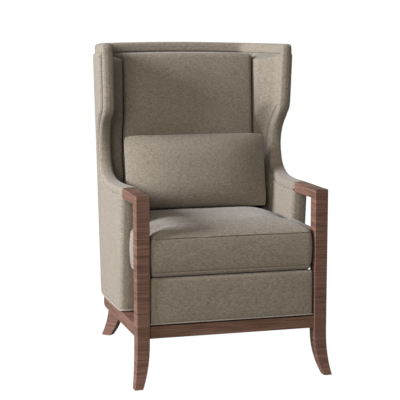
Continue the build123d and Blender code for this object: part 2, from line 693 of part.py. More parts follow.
# the cloth leaves the open arms free and covers the underside behind them
DUST = outline(Z_S0, RAIL_IN + RAIL_T + 0.5)
DUST_Y = 270.0
with BuildPart() as dust_cover:
    with BuildSketch(Plane.XY.offset(204.9)):
        with BuildLine():
            cut = LEG_C[0] + LEG_C[1] + (BLOCK_R0 - 1.0) / D45
            xs, ys = DUST["p2"]
            k = (DUST["p3"][0] - xs) / (DUST["p3"][1] - ys)
            yc = (cut - xs + k * ys) / (1 + k)
            xe = cut - DUST["p4"][1]
            xd = DUST["p0"][0] + (DUST["p1"][0] - DUST["p0"][0]) * (DUST_Y - 190.0) / (DUST["p1"][1] - 190.0)
            for s in (-1, 1):
                Polyline((s * 274.0, yy(32.5)), (s * 274.0, yy(DUST_Y)), (s * xd, yy(DUST_Y)), flip(DUST["p1"], s))
                ThreePointArc(flip(DUST["p1"], s), flip(DUST["m1"], s), flip(DUST["p2"], s))
                Polyline(flip(DUST["p2"], s), (s * (cut - yc), yy(yc)), (s * xe, yy(DUST["p4"][1])))
            Line((-274.0, yy(32.5)), (274.0, yy(32.5)))
            Line((-xe, yy(DUST["p4"][1])), (xe, yy(DUST["p4"][1])))
        make_face()
    extrude(amount=1.1)
save(dust_cover, "dust_cover")

# ---------------------------------------------------------------------------
# Padded seat front and welts
# ---------------------------------------------------------------------------
with BuildPart() as front_panel:
    box_part(-287.3, 287.3, 8.0, 31.7, 210.0, 363.0)
    fillet(front_panel.edges().filter_by(Axis.X).group_by(Axis.Z)[-1].sort_by(Axis.Y)[0], radius=14.0)
    fillet(front_panel.edges().filter_by(Axis.Z).group_by(Axis.Y)[0], radius=6.0)
save(front_panel, "front_panel")

with BuildPart() as bottom_welt_front:
    with BuildSketch(Plane.YZ.offset(-287.3)):
        with Locations((yy(10.6), 208.0)):
            Circle(1.9)
    extrude(amount=574.6)
save(bottom_welt_front, "bottom_welt_front")

WELT_O = outline(Z_S0, 1.0)
WELT_I = outline(Z_S0, 5.0)
with BuildPart() as bottom_welt_shell:
    with BuildSketch(Plane.XY.offset(206.2)):
        with BuildLine():
            ring_wire(WELT_O, WELT_I)
        make_face()
    extrude(amount=2.6)
    with BuildSketch(Plane.XY.offset(200.0)):
        with Locations((0, yy(100.0))):
            Rectangle(900, 2 * 150.0)
    extrude(amount=20.0, mode=Mode.SUBTRACT)
save(bottom_welt_shell, "bottom_welt_shell")

# ---------------------------------------------------------------------------
# Upholstered shell
# ---------------------------------------------------------------------------
Z_LO, Z_HI = 150.0, 1150.0


def loft_side(d0, d1, s, ycut, inner1=False):
    ends = []
    for z in (Z_LO, Z_HI):
        with BuildSketch(Plane.XY.offset(z)) as plan:
            with BuildLine():
                side_wire(outline(z, d0), outline(z, 0.0, True) if inner1 else outline(z, d1), s, ycut)
            make_face()
        ends.append(plan.sketch)
    loft(ends, ruled=True)


def loft_back(d0, d1, ycut):
    ends = []
    for z in (Z_LO, Z_HI):
        with BuildSketch(Plane.XY.offset(z)) as plan:
            with BuildLine():
                back_wire(outline(z, d0), outline(z, d1), ycut)
            make_face()
        ends.append(plan.sketch)
    loft(ends, ruled=True)


def keep_slab(z0, z1, y0=-900.0, y1=900.0):
    with BuildSketch(Plane.XY.offset(z0)) as plan:
        with BuildLine():
            Polyline((-600, y0), (600, y0), (600, y1), (-600, y1), close=True)
        make_face()
    extrude(plan.sketch, amount=z1 - z0, mode=Mode.INTERSECT)


Z_BAND = Z_TOP - TOP_BAND
for side, s in SIDES:
    with BuildPart() as outside_panel:
        loft_side(0.0, D_SKIN, s, Y_CUT)
        with BuildSketch(Plane.YZ):
            with BuildLine():
                side_profile_inset(BORDER + 0.2, Z_UP, Z_BAND - 0.2)
            make_face()
        extrude(amount=600, both=True, mode=Mode.INTERSECT)
    save(outside_panel, "outside_panel_" + side)

    with BuildPart() as wing_board:
        loft_side(D_BOARD0, D_BOARD1, s, Y_CUT - 10.0)
        with BuildSketch(Plane.YZ):
            with BuildLine():
                side_profile_inset(BORDER + 0.5, Z_R1 + 0.2, Z_BAND - 0.5)
            make_face()
        extrude(amount=600, both=True, mode=Mode.INTERSECT)
        with BuildSketch(Plane.XZ.offset(-yy(CAP_END))):
            with Locations((s * BOLT_X, BOLT_Z)):
                Circle(3.05)
        extrude(amount=-60.0, mode=Mode.SUBTRACT)
    save(wing_board, "wing_board_" + side)

    with BuildPart() as inside_panel:
        loft_side(D_PAD, 0.0, s, Y_CUT_I, inner1=True)
        with BuildSketch(Plane.YZ):
            with BuildLine():
                side_profile_inset(BORDER + 0.2, Z_R1 + 0.2, Z_BAND - 0.2)
            make_face()
        extrude(amount=600, both=True, mode=Mode.INTERSECT)
    save(inside_panel, "inside_panel_" + side)

    with BuildPart() as wing_border:
        loft_side(0.0, 0.0, s, Y_CUT_I, inner1=True)
        with BuildSketch(Plane.YZ):
            with BuildLine():
                side_profile_full(611.0, Z_BAND - 0.2)
            make_face()
        extrude(amount=600, both=True, mode=Mode.INTERSECT)
        with BuildSketch(Plane.YZ):
            with BuildLine():
                side_profile_inset(BORDER, 500.0, Z_BAND + 20.0)
            make_face()
        extrude(amount=600, both=True, mode=Mode.SUBTRACT)
        with BuildSketch(Plane.XZ.offset(-yy(CAP_END))):
            with Locations((s * BOLT_X, BOLT_Z)):
                Circle(3.05)
        extrude(amount=-60.0, mode=Mode.SUBTRACT)
    save(wing_border, "wing_border_" + side)

    with BuildPart() as arm_front:
        loft_side(0.0, 0.0, s, Y_CUT_I, inner1=True)
        with BuildSketch(Plane.YZ):
            with BuildLine():
                (ya, za), (yb, zb) = ARM_FRONT
                Polyline((yy(ya), za), (yy(ya + BORDER), za), (yy(yb + BORDER), zb - 0.2), (yy(yb), zb - 0.2),
                         close=True)
            make_face()
        extrude(amount=600, both=True, mode=Mode.INTERSECT)
    save(arm_front, "arm_front_" + side)

# stuffed pads that close the corner between each wing and the back cushion
PAD_X, PAD_Y0, PAD_Y1 = 258.0, 575.0, 640.0
for side, s in SIDES:
    with BuildPart() as wing_pad:
        for z in (560.0, 1088.0):
            o = outline(z, 0.3, True)
            with BuildSketch(Plane.XY.offset(z)):
                with BuildLine():
                    k = on_side(o, PAD_Y1)
                    ThreePointArc(flip(o["p1"], s), flip(o["m1"], s), flip(o["p2"], s))
                    Polyline(flip(o["p2"], s), flip(k, s), (s * PAD_X, yy(PAD_Y1)), (s * PAD_X, yy(PAD_Y0)),
                             flip(o["p1"], s))
                make_face()
        loft(ruled=True)
    save(wing_pad, "wing_pad_" + side)

with BuildPart() as outside_back_panel:
    loft_back(0.0, D_SKIN, Y_CUT + 0.2)
    keep_slab(Z_UP, Z_BAND - 0.2)
save(outside_back_panel, "outside_back_panel")

with BuildPart() as inside_back_panel:
    for z in (325.0, Z_BAND - 0.2):
        with BuildSketch(Plane.XY.offset(z)):
            with BuildLine():
                inside_back_wire(z)
            make_face()
    loft(ruled=True)
save(inside_back_panel, "inside_back_panel")

with BuildPart() as top_border:
    for z in (Z_BAND, Z_TOP + CROWN + 3):
        with BuildSketch(Plane.XY.offset(z)):
            with BuildLine():
                ring_wire(outline(z), outline(z, 0.0, True))
            make_face()
    loft(ruled=True)
    with BuildSketch(Plane.YZ):
        with BuildLine():
            Polyline((yy(417.8), 1000), (yy(900), 1000), (yy(900), 1200), (yy(417.8), 1200), close=True)
        make_face()
    extrude(amount=600, both=True, mode=Mode.INTERSECT)
    with BuildSketch(Plane.XZ):
        with BuildLine():
            ThreePointArc((-370, Z_TOP), (0, Z_TOP + CROWN), (370, Z_TOP))
            Polyline((370, Z_TOP), (370, 1000), (-370, 1000), (-370, Z_TOP))
        make_face()
    extrude(amount=900, both=True, mode=Mode.INTERSECT)
save(top_border, "top_border")

# ---------------------------------------------------------------------------
# Back frame
# ---------------------------------------------------------------------------
UP = 28.0
for side, s in SIDES:
    with BuildPart() as back_upright:
        for z in (Z_BLOCK + 0.2, Z_BAND - 0.6):
            c = outline(z)["c2"]
            r = R_CORNER - 30.0
            with BuildSketch(Plane(origin=(s * (c[0] + r * D45), yy(c[1] + r * D45), z),
                                   x_dir=(s * D45, D45, 0), z_dir=(0, 0, 1))):
                Rectangle(UP, UP)
        loft(ruled=True)
    save(back_upright, "back_upright_" + side)

X_RAIL = 205.0
for name, z0, z1 in (("back_top_rail", 1050.0, Z_BAND - 0.6), ("back_lower_rail", 372.0, 432.0)):
    with BuildPart() as back_rail:
        loft_back(9.0, 37.0, Y_CUT + 5.0)
        keep_slab(z0, z1)
        with BuildSketch(Plane.XZ):
            with BuildLine():
                Polyline((-X_RAIL, 0), (X_RAIL, 0), (X_RAIL, 1300), (-X_RAIL, 1300), close=True)
            make_face()
        extrude(amount=900, both=True, mode=Mode.INTERSECT)
    save(back_rail, name)

with BuildPart() as back_webbing:
    loft_back(37.2, 39.2, Y_CUT + 5.0)
    with BuildSketch(Plane.XZ):
        for x in (-150.0, -50.0, 50.0, 150.0):
            with BuildLine():
                Polyline((x - 25, 380), (x + 25, 380), (x + 25, 1090), (x - 25, 1090), close=True)
            make_face()
    extrude(amount=900, both=True, mode=Mode.INTERSECT)
save(back_webbing, "back_webbing")

# ---------------------------------------------------------------------------
# Cushions
# ---------------------------------------------------------------------------
Z_CROWN = 538.0


def seat_cushion_solid(o):
    """T-shaped crowned cushion, moved in by o all round."""
    half, ear, body = CUSH_HALF - o, EAR_HALF - o, CUSH_BODY - o
    y0, y1, y2, y3 = CUSH_FRONT + o, EAR_Y0 + o, EAR_Y1 - o, CUSH_BACK - o
    with BuildSketch(Plane.XY.offset(Z_CUSH + o)) as plan:
        with BuildLine():
            Polyline((-half, yy(y0)), (half, yy(y0)), (half, yy(y1)), (ear, yy(y1)), (ear, yy(y2)),
                     (body, yy(y2)), (body, yy(y3)), (-body, yy(y3)), (-body, yy(y2)), (-ear, yy(y2)),
                     (-ear, yy(y1)), (-half, yy(y1)), close=True)
        make_face()
    extrude(plan.sketch, amount=200.0)
    with BuildSketch(Plane.YZ) as long_section:
        with BuildLine():
            Spline((yy(-30), 480 - o), (yy(2), 497 - o), (yy(90), 520 - o), (yy(270), Z_CROWN - o),
                   (yy(440), 533 - o), (yy(530), 515 - o))
            Polyline((yy(530), 515 - o), (yy(530), 300), (yy(-30), 300), (yy(-30), 480 - o))
        make_face()
    extrude(long_section.sketch, amount=600, both=True, mode=Mode.INTERSECT)
    with BuildSketch(Plane.XZ) as cross_section:
        with BuildLine():
            Spline((-340, 486 - o), (-286, 503 - o), (-180, 530 - o), (0, Z_CROWN + 1 - o), (180, 530 - o),
                   (286, 503 - o), (340, 486 - o))
            Polyline((340, 486 - o), (340, 300), (-340, 300), (-340, 486 - o))
        make_face()
    extrude(cross_section.sketch, amount=900, both=True, mode=Mode.INTERSECT)


COVER_T = 2.4
ZIP = ((-220.0, 220.0), 8.0, 1.6)
with BuildPart() as seat_cushion_foam:
    seat_cushion_solid(COVER_T + 0.2)
save(seat_cushion_foam, "seat_cushion_foam")

with BuildPart() as seat_cushion_inner:
    seat_cushion_solid(COVER_T)
with BuildPart() as seat_cushion_cover:
    seat_cushion_solid(0.0)
    add(seat_cushion_inner.part, mode=Mode.SUBTRACT)
    with BuildSketch(Plane.XZ.offset(-yy(CUSH_BACK))):
        with Locations((0, 430.0)):
            Rectangle(440.2, 8.2)
    extrude(amount=1.7, mode=Mode.SUBTRACT)
save(seat_cushion_cover, "seat_cushion_cover")

with BuildPart() as seat_cushion_zipper:
    with BuildSketch(Plane.XZ.offset(-yy(CUSH_BACK))):
        with Locations((0, 430.0)):
            Rectangle(440.0, 8.0)
    extrude(amount=1.6)
save(seat_cushion_zipper, "seat_cushion_zipper")


def back_cushion_solid(o):
    """Upright cushion that leans against the inside back, moved in by o."""
    with BuildSketch(Plane.YZ) as section:
        with BuildLine():
            ThreePointArc((yy(BC_F0 + o), BC_Z0 + o), (yy((BC_F0 + BC_F1) / 2 - 5 + o), (BC_Z0 + BC_Z1) / 2),
                          (yy(BC_F1 + o), BC_Z1 - 6 - o))
            Polyline((yy(BC_F1 + o), BC_Z1 - 6 - o), (yy((BC_F1 + BC_B1) / 2), BC_Z1 - o), (yy(BC_B1 - o), BC_Z1 - 12 - o),
                     (yy(BC_B0 - o), BC_Z0 + o), (yy(BC_F0 + o), BC_Z0 + o))
        make_face()
    extrude(section.sketch, amount=BC_HALF - o, both=True)


with BuildPart() as back_cushion_foam:
    back_cushion_solid(COVER_T + 0.2)
save(back_cushion_foam, "back_cushion_foam")

with BuildPart() as back_cushion_inner:
    back_cushion_solid(COVER_T)
with BuildPart() as back_cushion_cover:
    back_cushion_solid(0.0)
    add(back_cushion_inner.part, mode=Mode.SUBTRACT)
save(back_cushion_cover, "back_cushion_cover")

LEAN = math.radians(PIL_LEAN)


def pillow_plane():
    """Middle plane of the lumbar pillow: local x across, local y up the pillow."""
    return Plane(origin=(0, yy(PIL_Y0), PIL_Z0), x_dir=(1, 0, 0), z_dir=(0, -math.cos(LEAN), math.sin(LEAN)))


def pillow_solid(o):
    """Knife-edge pillow, full in the middle, moved in by o."""
    pl = pillow_plane()
    mid = pl.origin + pl.y_dir * (PIL_H / 2)
    sections = []
    for share, z in ((0.50, o - PIL_REAR), (0.87, -PIL_REAR * 0.62), (1.0, -5.0), (1.0, 5.0),
                     (0.87, PIL_FRONT * 0.62), (0.50, PIL_FRONT - o)):
        with BuildSketch(Plane(origin=mid + pl.z_dir * z, x_dir=(1, 0, 0), z_dir=pl.z_dir)) as ring:
            w = PIL_HALF * (1 - (1 - share) * 0.62) - o
            h = PIL_H / 2 * (1 - (1 - share) * 1.1) - o
            RectangleRounded(2 * w, 2 * h, 20.0 - o)
        sections.append(ring.sketch)
    loft(sections, ruled=True)


with BuildPart() as lumbar_pillow_fill:
    pillow_solid(COVER_T + 0.2)
save(lumbar_pillow_fill, "lumbar_pillow_fill")

with BuildPart() as lumbar_pillow_inner:
    pillow_solid(COVER_T)
ZIP_PLANE = Plane(origin=pillow_plane().origin, x_dir=(1, 0, 0), z_dir=-pillow_plane().y_dir)
with BuildPart() as lumbar_pillow_cover:
    pillow_solid(0.0)
    add(lumbar_pillow_inner.part, mode=Mode.SUBTRACT)
    with BuildSketch(ZIP_PLANE):
        Rectangle(380.2, 6.2)
    extrude(amount=-1.7, mode=Mode.SUBTRACT)
save(lumbar_pillow_cover, "lumbar_pillow_cover")

with BuildPart() as lumbar_pillow_zipper:
    with BuildSketch(ZIP_PLANE):
        Rectangle(380.0, 6.0)
    extrude(amount=-1.6)
save(lumbar_pillow_zipper, "lumbar_pillow_zipper")
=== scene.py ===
import json
import math

import bmesh
import bpy
import numpy as np
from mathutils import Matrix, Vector


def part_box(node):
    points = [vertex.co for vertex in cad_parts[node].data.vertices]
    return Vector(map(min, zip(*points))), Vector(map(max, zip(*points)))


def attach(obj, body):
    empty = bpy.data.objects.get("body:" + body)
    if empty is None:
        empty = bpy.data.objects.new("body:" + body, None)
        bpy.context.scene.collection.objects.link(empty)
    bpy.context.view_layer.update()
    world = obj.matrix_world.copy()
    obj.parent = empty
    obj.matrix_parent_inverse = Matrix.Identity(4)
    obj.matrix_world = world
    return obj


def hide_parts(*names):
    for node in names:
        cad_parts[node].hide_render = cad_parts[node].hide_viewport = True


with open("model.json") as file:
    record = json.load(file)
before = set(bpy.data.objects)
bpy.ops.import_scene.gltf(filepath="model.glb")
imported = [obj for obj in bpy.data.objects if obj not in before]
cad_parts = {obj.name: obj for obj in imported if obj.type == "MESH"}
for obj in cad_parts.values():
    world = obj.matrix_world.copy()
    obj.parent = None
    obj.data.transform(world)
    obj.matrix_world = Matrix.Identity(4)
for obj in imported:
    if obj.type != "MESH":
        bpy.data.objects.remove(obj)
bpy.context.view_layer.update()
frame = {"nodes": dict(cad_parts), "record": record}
nodes = frame["nodes"]

# --------------------------------------------------------------------------
# Shape of the upholstered shell, in millimetres, depths from the posts' faces
# --------------------------------------------------------------------------
Y_MID = 398.2
Z_LO, Z_HI = 150.0, 1150.0
Z_UP = 209.0
ARM_Z = 611.0
Y_SEAM = 700.0
Y_SEAM_IN = 725.0
EDGE = [(202.3, 648.0), (248, 648), (294, 647.2), (329, 647.2), (375, 649), (410, 652.5),
        (432, 657.5), (449, 663), (465, 669.8), (481, 680), (495.5, 696), (504, 714.5),
        (509.5, 733), (512, 752), (511, 771), (507, 790), (500, 809.5), (489, 829),
        (473.5, 848), (453, 867), (438, 881), (428, 900), (423.5, 926), (421, 963),
        (420, 1000), (418.5, 1036), (417.8, 1073), (417.6, 1105)]
TOP_R = 15.0
Z_TOP = 1130.0
CROWN = 7.0


def lerp(a, b, t):
    return a + (b - a) * t


def outline(z, inside):
    """Dense right half of the plan outline at height z."""
    t = (z - 206.0) / 924.0
    al, be = math.radians(lerp(14.5, 16.0, t)), math.radians(6.0)
    xf = 278.0 if inside else 337.0
    xs = lerp(280.5, 324.0, t) if inside else lerp(337.5, 366.0, t)
    r1, r2 = (458.0, 40.0) if inside else (508.0, 98.0)
    yb = lerp(707.0, 740.0, t) if inside else lerp(802.0, 818.0, t)
    ya = lerp(503.0, 470.0, t)
    cy = yb - 11.0 - r2 * math.cos(be)
    p2 = np.array((xs - r1 + r1 * math.cos(al), ya + r1 * math.sin(al)))
    p3y = cy + r2 * math.sin(al)
    p3 = np.array((p2[0] - (p3y - p2[1]) * math.tan(al), p3y))
    c2 = np.array((p3[0] - r2 * math.cos(al), cy))
    pts = [np.linspace((xf, 150.0), (xf, 190.0), 20, endpoint=False),
           np.linspace((xf, 190.0), (xs, ya), 60, endpoint=False)]
    a = np.linspace(0, al, 40, endpoint=False)[:, None]
    pts.append(np.hstack((xs - r1 + r1 * np.cos(a), ya + r1 * np.sin(a))))
    pts.append(np.linspace(p2, p3, 40, endpoint=False))
    a = np.linspace(al, math.pi / 2 - be, 60, endpoint=False)[:, None]
    pts.append(np.hstack((c2[0] + r2 * np.cos(a), c2[1] + r2 * np.sin(a))))
    p4 = c2 + r2 * np.array((math.sin(be), math.cos(be)))
    x = np.linspace(p4[0], 0, 60)[:, None]
    pts.append(np.hstack((x, yb - (yb - p4[1]) * (x / p4[0]) ** 2)))
    return np.vstack(pts)


H = np.arange(150.0, 1091.0, 1.0)
H_REAR, H_MID = 690.0, 1090.0


def plan_table(z, inside):
    """Plan position against the running coordinate h: depth along the side,
    then a share of the way round the rear corner to the middle of the back."""
    o = outline(z, inside)
    start = 640.0 if inside else 690.0
    k = int(np.argmax(o[:, 1]))
    k = int(np.argmax(o[:, 1] >= start))
    f = (start - o[k - 1, 1]) / (o[k, 1] - o[k - 1, 1])
    q = o[k - 1] + (o[k] - o[k - 1]) * f
    side = np.vstack((o[:k], q))
    rear = np.vstack((q, o[k:]))
    run = np.concatenate(([0.0], np.cumsum(np.hypot(*np.diff(rear, axis=0).T))))
    yside = H.copy()
    if inside:
        yside = np.where(H > 500, H - 50.0 * (np.clip(H - 500, 0, 190) / 190.0) ** 2, H)
    g = np.clip((H - H_REAR) / (H_MID - H_REAR), 0, 1) * run[-1]
    x = np.where(H <= H_REAR, np.interp(yside, side[:, 1], side[:, 0]), np.interp(g, run, rear[:, 0]))
    y = np.where(H <= H_REAR, yside, np.interp(g, run, rear[:, 1]))
    return np.stack((x, y))


TAB = {(i, z): plan_table(z, bool(i)) for i in (0, 1) for z in (Z_LO, Z_HI)}


def surf(h, z, inside):
    """Point of the outside (0) or inside (1) surface, right half, as (..., 3)."""
    h, z = np.broadcast_arrays(np.asarray(h, float), np.asarray(z, float))
    t = (z - Z_LO) / (Z_HI - Z_LO)
    lo, hi = TAB[(inside, Z_LO)], TAB[(inside, Z_HI)]
    x = np.interp(h, H, lo[0]) * (1 - t) + np.interp(h, H, hi[0]) * t
    y = np.interp(h, H, lo[1]) * (1 - t) + np.interp(h, H, hi[1]) * t
    return np.stack((x, y, z), -1)


def normal_out(h, z):
    """Outward unit normal of the outside surface in plan."""
    a, b = surf(h - 3.0, z, 0), surf(np.minimum(np.asarray(h) + 3.0, H_MID), z, 0)
    t = b - a
    n = np.stack((t[..., 1], -t[..., 0], np.zeros_like(t[..., 0])), -1)
    return n / np.linalg.norm(n, axis=-1, keepdims=True)


def normal_in(h, z):
    """Unit normal of the inside surface, towards the seat."""
    a, b = surf(h - 3.0, z, 1), surf(np.minimum(np.asarray(h) + 3.0, H_MID), z, 1)
    t = b - a
    n = np.stack((-t[..., 1], t[..., 0], np.zeros_like(t[..., 0])), -1)
    return n / np.linalg.norm(n, axis=-1, keepdims=True)


def z_top(h):
    x = surf(h, np.full_like(np.asarray(h, float), 1130.0), 0)[..., 0]
    return Z_TOP + CROWN * (1 - (x / 370.0) ** 2)


def catmull(pts, step):
    """Smooth curve through pts, resampled at about that step."""
    p = np.asarray(pts, float)
    q = np.vstack((2 * p[0] - p[1], p, 2 * p[-1] - p[-2]))
    out = []
    for i in range(len(p) - 1):
        a, b, c, d = q[i], q[i + 1], q[i + 2], q[i + 3]
        n = max(2, int(np.linalg.norm(c - b) / 1.0))
        t = np.linspace(0, 1, n, endpoint=False)[:, None]
        out.append(0.5 * ((2 * b) + (c - a) * t + (2 * a - 5 * b + 4 * c - d) * t ** 2
                          + (3 * b - a - 3 * c + d) * t ** 3))
    out = np.vstack(out + [p[-1:]])
    for _ in range(24):
        out[1:-1] = 0.25 * out[:-2] + 0.5 * out[1:-1] + 0.25 * out[2:]
    run = np.concatenate(([0.0], np.cumsum(np.hypot(*np.diff(out, axis=0).T))))
    n = max(2, int(round(run[-1] / step)))
    s = np.linspace(0, run[-1], n + 1)
    return np.stack((np.interp(s, run, out[:, 0]), np.interp(s, run, out[:, 1])), -1)


# running edge of one half: arm top, wing, rounded corner, top to the middle
wing = catmull(EDGE + [(417.6, Z_TOP - TOP_R)], 6.0)
ang = np.linspace(math.pi, math.pi / 2, 9)[1:]
H_C = 417.6
corner = np.stack((H_C + TOP_R + TOP_R * np.cos(ang), Z_TOP - TOP_R + TOP_R * np.sin(ang)), -1)
htop = np.concatenate((np.arange(H_C + TOP_R + 5, 690, 7.0), np.linspace(690, H_MID, 50)))
top = np.stack((htop, z_top(htop)), -1)
lift = z_top(np.array([H_C + TOP_R]))[0] - Z_TOP
top[:, 1] -= lift * np.clip(1 - (htop - H_C - TOP_R) / 60.0, 0, 1)
PATH = np.vstack((wing, corner, top))
N_WING, N_CORNER = len(wing), len(corner)
tan = np.gradient(PATH, axis=0)
tan /= np.linalg.norm(tan, axis=1, keepdims=True)
tan[-1] = (1.0, 0.0)
NRM = np.stack((tan[:, 1], -tan[:, 0]), -1)
RUN = np.concatenate(([0.0], np.cumsum(np.hypot(*np.diff(PATH, axis=0).T))))


def smooth01(x):
    x = np.clip(x, 0, 1)
    return x * x * (3 - 2 * x)


# depth of the band: outer and inner seam behind the front edge and below the top
on_wing = smooth01((RUN - 190.0) / 160.0)
SEAM_OUT = np.stack((lerp(28.0, 15.0, on_wing), np.full_like(RUN, 33.0)))
SEAM_IN = np.stack((lerp(30.0, 35.0, on_wing), np.full_like(RUN, 35.0)))


def inset(u):
    """The running edge moved into the shell by u: row 0 behind the front, row 1 below the top."""
    uf, ut = u
    i = np.arange(len(PATH))
    on_front = i < N_WING
    p = PATH + NRM * np.where(on_front, uf, ut)[:, None]
    p[on_front, 1] = np.minimum(p[on_front, 1], Z_TOP - ut[on_front])
    k = slice(N_WING, N_WING + N_CORNER)
    f, t = uf[k], ut[k]
    p[k, 0] = np.where(f < TOP_R, H_C + TOP_R + (TOP_R - f) * np.cos(ang), H_C + f)
    p[k, 1] = np.where(t < TOP_R, Z_TOP - TOP_R + (TOP_R - t) * np.sin(ang), Z_TOP - t)
    r = slice(N_WING + N_CORNER, None)
    p[r, 0] = np.maximum(p[r, 0], H_C + np.maximum(uf[r], TOP_R))
    p[:, 0] = np.minimum(p[:, 0], H_MID)
    return p


# --------------------------------------------------------------------------
# Mesh helpers
# --------------------------------------------------------------------------
def to_world(p, s=1):
    p = np.asarray(p, float).copy()
    p[..., 0] *= s
    p[..., 1] -= Y_MID
    return p / 1000.0


def mesh_object(name, verts, faces, merge=0.0, outward=None):
    me = bpy.data.meshes.new(name)
    me.from_pydata([tuple(v) for v in np.asarray(verts).reshape(-1, 3)], [], faces)
    bm = bmesh.new()
    bm.from_mesh(me)
    if merge:
        bmesh.ops.remove_doubles(bm, verts=bm.verts, dist=merge)
    bmesh.ops.dissolve_degenerate(bm, dist=1e-6, edges=bm.edges)
    bmesh.ops.recalc_face_normals(bm, faces=bm.faces)
    if outward is not None:
        n = sum(((f.normal.dot(Vector(outward(f.calc_center_median())))) * f.calc_area() for f in bm.faces), 0.0)
        if n < 0:
            bmesh.ops.reverse_faces(bm, faces=bm.faces)
    for f in bm.faces:
        f.smooth = True
    bm.to_mesh(me)
    bm.free()
    o = bpy.data.objects.new(name, me)
    bpy.context.scene.collection.objects.link(o)
    return o


def grid_faces(n, m, wrap_u=False, wrap_v=False, base=0):
    out = []
    for i in range(n if wrap_u else n - 1):
        for j in range(m if wrap_v else m - 1):
            a, b = i, (i + 1) % n
            c, d = j, (j + 1) % m
            out.append((base + a * m + c, base + b * m + c, base + b * m + d, base + a * m + d))
    return out


def solidify(o, t):
    m = o.modifiers.new("thickness", "SOLIDIFY")
    m.thickness = t
    m.offset = -1.0
    return o


def dip(d, proud, depth=4.4):
    """Height of a cover over its nominal surface at distance d from a seam."""
    return proud * (1 - np.exp(-d / 9.0)) + 0.7 * np.exp(-((d - 7.5) / 3.5) ** 2) - depth * np.exp(-(d / 3.3) ** 2)


# --------------------------------------------------------------------------
# The band along the arms, the wings and the top, one long strip
# --------------------------------------------------------------------------
def band():
    uo, ui = SEAM_OUT, SEAM_IN
    mid = surf(PATH[:, 0], PATH[:, 1], 0) - surf(PATH[:, 0], PATH[:, 1], 1)
    thick = np.linalg.norm(mid, axis=1)
    ro, ri = 11.0, 14.0
    back_set = 5.0 * smooth01((PATH[:, 1] - 680.0) / 160.0)
    prof = [(uo, 5.5), (uo - 1.0, 3.0), (uo - 2.4, 1.3), (uo - 4.2, 0.3), (uo - 7.0, -0.4)]
    for f in (0.35, 0.7):
        prof.append((lerp(uo - 7.0, np.minimum(ro, uo - 3.5), f), 0.0))
    for a in np.linspace(0, math.pi / 2, 8):
        prof.append((np.minimum(ro - ro * np.sin(a), uo - 3.5 - 8.0 * a), ro - ro * math.cos(a)))
    for f in np.linspace(0, 1, 7)[1:-1]:
        prof.append((-1.6 * math.sin(math.pi * f) + 0 * uo, lerp(ro, thick - ri, f)))
    for a in np.linspace(0, math.pi / 2, 8):
        prof.append((ri - ri * np.cos(a) + 0 * uo, thick - ri + ri * math.sin(a)))
    for f in (0.35, 0.7):
        prof.append((lerp(np.full_like(ui, ri), ui - 7.0, f), thick))
    prof += [(ui - 7.0, thick + 0.4), (ui - 4.2, thick - 0.3), (ui - 2.4, thick - 1.3), (ui - 1.0, thick - 3.0),
             (ui, thick - 5.5)]
    prof += [(ui - 3.0, thick - 12.0), (0.5 * (uo + ui), thick * 0.5), (uo - 3.0, 11.5)]
    half = []
    for u, v in prof:
        q = inset(u)
        a, b = surf(q[:, 0], q[:, 1], 0), surf(q[:, 0], q[:, 1], 1)
        a = a - normal_out(q[:, 0], q[:, 1]) * back_set[:, None]
        w = (np.broadcast_to(np.asarray(v, float), thick.shape) / thick)[:, None]
        half.append(a * (1 - w) + b * w)
    half = np.stack(half, 1)
    right = half
    left = half.copy()
    left[..., 0] *= -1
    ring = np.vstack((left, right[-2::-1]))
    n, m = ring.shape[:2]
    faces = grid_faces(n, m, wrap_v=True)
    faces.append(tuple(range(m)))
    faces.append(tuple(range((n - 1) * m + m - 1, (n - 1) * m - 1, -1)))
    return mesh_object("edge_band", to_world(ring), faces)


# --------------------------------------------------------------------------
# Cover of one arm and wing: outside, rounded arm front and inside in one
# --------------------------------------------------------------------------
PROUD_OUT, PROUD_IN = 2.6, 1.6
R_ARM = 19.0
Z_SPLIT = 540.0


def arm_front(z):
    return lerp(243.0, 202.6, (np.asarray(z, float) - Z_UP) / (ARM_Z - Z_UP))


def bottom_roll(z):
    return -5.0 * np.exp(-((np.asarray(z, float) - Z_UP) / 5.0) ** 1.5)


